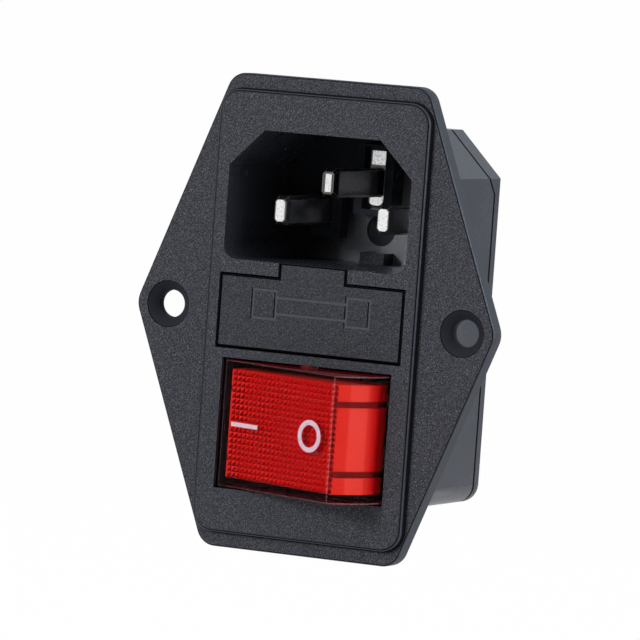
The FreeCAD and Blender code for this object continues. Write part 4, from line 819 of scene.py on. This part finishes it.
prisms = bmesh.new()
grid = [[sheet_point(prisms, i, j, SHEET_VALLEY) for j in range(ROWS + 1)] for i in range(COLUMNS + 1)]
for i in range(COLUMNS):
    for j in range(ROWS):
        peak = sheet_point(prisms, i + 0.5, j + 0.5, SHEET_PEAK)
        corners = (grid[i][j], grid[i + 1][j], grid[i + 1][j + 1], grid[i][j + 1])
        for k in range(4):
            prisms.faces.new((corners[k], corners[(k + 1) % 4], peak))
border = [grid[i][0] for i in range(COLUMNS)]
border += [grid[COLUMNS][j] for j in range(ROWS)]
border += [grid[i][ROWS] for i in range(COLUMNS, 0, -1)]
border += [grid[0][j] for j in range(ROWS, 0, -1)]
feet = [prisms.verts.new((v.co.x, SHEET_FOOT, v.co.z)) for v in border]
for k in range(len(border)):
    n = (k + 1) % len(border)
    prisms.faces.new((border[n], border[k], feet[k], feet[n]))
prisms.faces.new(feet)
rocker_piece("prism_sheet", prisms, prism_red)

teeth = bmesh.new()
for j in range(ROWS):
    low = -SHEET_HALF + j * STEP_Z
    add_slab(teeth, [(SHEET_RIGHT, low + 0.06 * STEP_Z), (SHEET_RIGHT + TOOTH, low + 0.4 * STEP_Z),
                     (SHEET_RIGHT, low + 0.94 * STEP_Z)], SHEET_PEAK, SHEET_FOOT)
rocker_piece("sheet_teeth", teeth, deep_red)

# Printed marks for on and off

PRINT_TOP, PRINT_FOOT = -ROCKER_FACE - 0.02 * MM, -ROCKER_FACE + 0.01 * MM
ON_LEFT, ON_RIGHT = -8.14 * MM, -3.39 * MM
ON_LOW, ON_HIGH = -0.23 * MM, 0.29 * MM
RING_MIDDLE = (5.88 * MM, 0.03 * MM)
RING_OUTER_WIDTH, RING_OUTER_HEIGHT = 1.99 * MM, 1.97 * MM
RING_INNER = 1.37 * MM

on_mark = bmesh.new()
add_slab(on_mark, round_rectangle(ON_LEFT, ON_RIGHT, ON_LOW, ON_HIGH, 0.1 * MM), PRINT_TOP, PRINT_FOOT)
rocker_piece("on_mark", on_mark, ink)
off_mark = bmesh.new()
add_ring(off_mark, oval(RING_MIDDLE, RING_OUTER_WIDTH, RING_OUTER_HEIGHT),
         oval(RING_MIDDLE, RING_INNER, RING_INNER), PRINT_TOP, PRINT_FOOT)
rocker_piece("off_mark", off_mark, ink)

# Camera, fitted to the photograph

AZIMUTH, ELEVATION, ROLL = 25.72, 3.77, 4.089
DISTANCE = 0.7118
TARGET = Vector((-0.000121, 0.0, -0.000244))
SENSOR = 36.0
FOCAL_PIXELS, PICTURE_PIXELS = 5817.0, 640.0


def outward(azimuth, elevation):
    """The way from the module to a place round it, by angles in degrees; azimuth 0 is in front."""
    a, e = math.radians(azimuth), math.radians(elevation)
    return Vector((math.sin(a) * math.cos(e), -math.cos(a) * math.cos(e), math.sin(e)))


back = outward(AZIMUTH, ELEVATION)
right = (-back).cross(Vector((0, 0, 1))).normalized()
up = right.cross(-back)
roll = math.radians(ROLL)
turned_right = math.cos(roll) * right + math.sin(roll) * up
turned_up = math.cos(roll) * up - math.sin(roll) * right
cam_data = bpy.data.cameras.new("camera")
cam_data.sensor_width = SENSOR
cam_data.lens = FOCAL_PIXELS * SENSOR / PICTURE_PIXELS
cam_data.clip_start = 0.01
cam_data.clip_end = 200.0
cam = bpy.data.objects.new("camera", cam_data)
bpy.context.scene.collection.objects.link(cam)
turn = Matrix((turned_right, turned_up, back)).transposed()
cam.matrix_world = Matrix.Translation(TARGET + back * DISTANCE) @ turn.to_4x4()
bpy.context.scene.camera = cam

# Floor

FLOOR_Z = -0.06
FLOOR_REACH = 60.0
FLOOR_GLOW_SHARE = 0.985
WHITE = (1.0, 1.0, 1.0)


def mix_shaders(tree, share, first, second, entry):
    """Feeds an output with a mix of two shaders."""
    mixed = tree.nodes.new("ShaderNodeMixShader")
    feed(tree, mixed.inputs["Fac"], share)
    tree.links.new(first, mixed.inputs[1])
    tree.links.new(second, mixed.inputs[2])
    tree.links.new(mixed.outputs["Shader"], entry)


floor_mesh = bpy.data.meshes.new("floor")
floor_corners = rectangle(-FLOOR_REACH, FLOOR_REACH, -FLOOR_REACH, FLOOR_REACH)
floor_mesh.from_pydata([(x, y, FLOOR_Z) for x, y in floor_corners], [], [(0, 1, 2, 3)])
floor = bpy.data.objects.new("floor", floor_mesh)
bpy.context.scene.collection.objects.link(floor)
paint = Paint("floor_white")
paint.set("Base Color", (0.85, 0.85, 0.85))
paint.set("Roughness", 0.9)
paint.set("Specular IOR Level", 0.0)
glow = paint.tree.nodes.new("ShaderNodeEmission")
feed(paint.tree, glow.inputs["Color"], WHITE)
feed(paint.tree, glow.inputs["Strength"], 1.0)
rays = paint.tree.nodes.new("ShaderNodeLightPath").outputs
to_camera = Field(paint.tree, rays["Is Camera Ray"])
mix_shaders(paint.tree, to_camera * FLOOR_GLOW_SHARE, paint.shader.outputs["BSDF"], glow.outputs["Emission"],
            paint.out.inputs["Surface"])
floor_mesh.materials.append(paint.mat)

# Studio round the module: dim for its light, white for the camera, with bright areas for reflections

WORLD_LIGHT, WORLD_STRENGTH = (0.94, 0.97, 1.0), 0.3
REFLECTED_WHITE = (0.86, 0.93, 1.0)
CARD_DIRECTION = (-0.44, -0.898, 0.0)

world = bpy.data.worlds.new("studio")
bpy.context.scene.world = world
world.use_nodes = True
tree = world.node_tree
tree.nodes.clear()
out = tree.nodes.new("ShaderNodeOutputWorld")
rays = tree.nodes.new("ShaderNodeLightPath").outputs
to_camera, through, mirrored = (Field(tree, rays[name]) for name in
                                ("Is Camera Ray", "Is Transmission Ray", "Is Glossy Ray"))
soft = tree.nodes.new("ShaderNodeBackground")
feed(tree, soft.inputs["Color"], WORLD_LIGHT)
feed(tree, soft.inputs["Strength"], WORLD_STRENGTH)
white = tree.nodes.new("ShaderNodeBackground")
feed(tree, white.inputs["Color"], cover(WHITE, mirrored, REFLECTED_WHITE))
feed(tree, white.inputs["Strength"], 1.0)
look = Field(tree, tree.nodes.new("ShaderNodeTexCoord").outputs["Generated"])
rearward, overhead = look.parts()[1:]
backdrop = rearward.span(0.35, 0.6, 0.1, 1.0) * overhead.span(0.15, 0.5, 1.0, 0.4)
ceiling = overhead.span(0.5, 0.8, 0.1, 0.8)
card = look.toward(CARD_DIRECTION).span(0.965, 0.985, 0.1, 1.0)
mix_shaders(tree, to_camera | through | mirrored * (backdrop | ceiling | card), soft.outputs["Background"],
            white.outputs["Background"], out.inputs["Surface"])

# Lamps

def softbox(name, azimuth, elevation, distance, width, height, power, raised=0.0):
    """A rectangular lamp that faces the module, or a place above it if it is raised."""
    away = outward(azimuth, elevation)
    lamp = bpy.data.lights.new(name, "AREA")
    lamp.shape = "RECTANGLE"
    lamp.size = width
    lamp.size_y = height
    lamp.energy = power
    holder = bpy.data.objects.new(name, lamp)
    bpy.context.scene.collection.objects.link(holder)
    holder.rotation_mode = "QUATERNION"
    holder.rotation_quaternion = away.to_track_quat("Z", "Y")
    holder.location = away * distance + Vector((0, 0, raised))


softbox("side_light", azimuth=91.0, elevation=0.0, distance=0.7, width=0.345, height=0.5, power=4.8,
        raised=0.2)
softbox("key_light", azimuth=-27.0, elevation=20.0, distance=0.9, width=0.2, height=0.2, power=6.0)
softbox("top_light", azimuth=10.0, elevation=60.0, distance=0.9, width=0.5, height=0.5, power=2.0)

bpy.context.scene.view_settings.view_transform = "Standard"
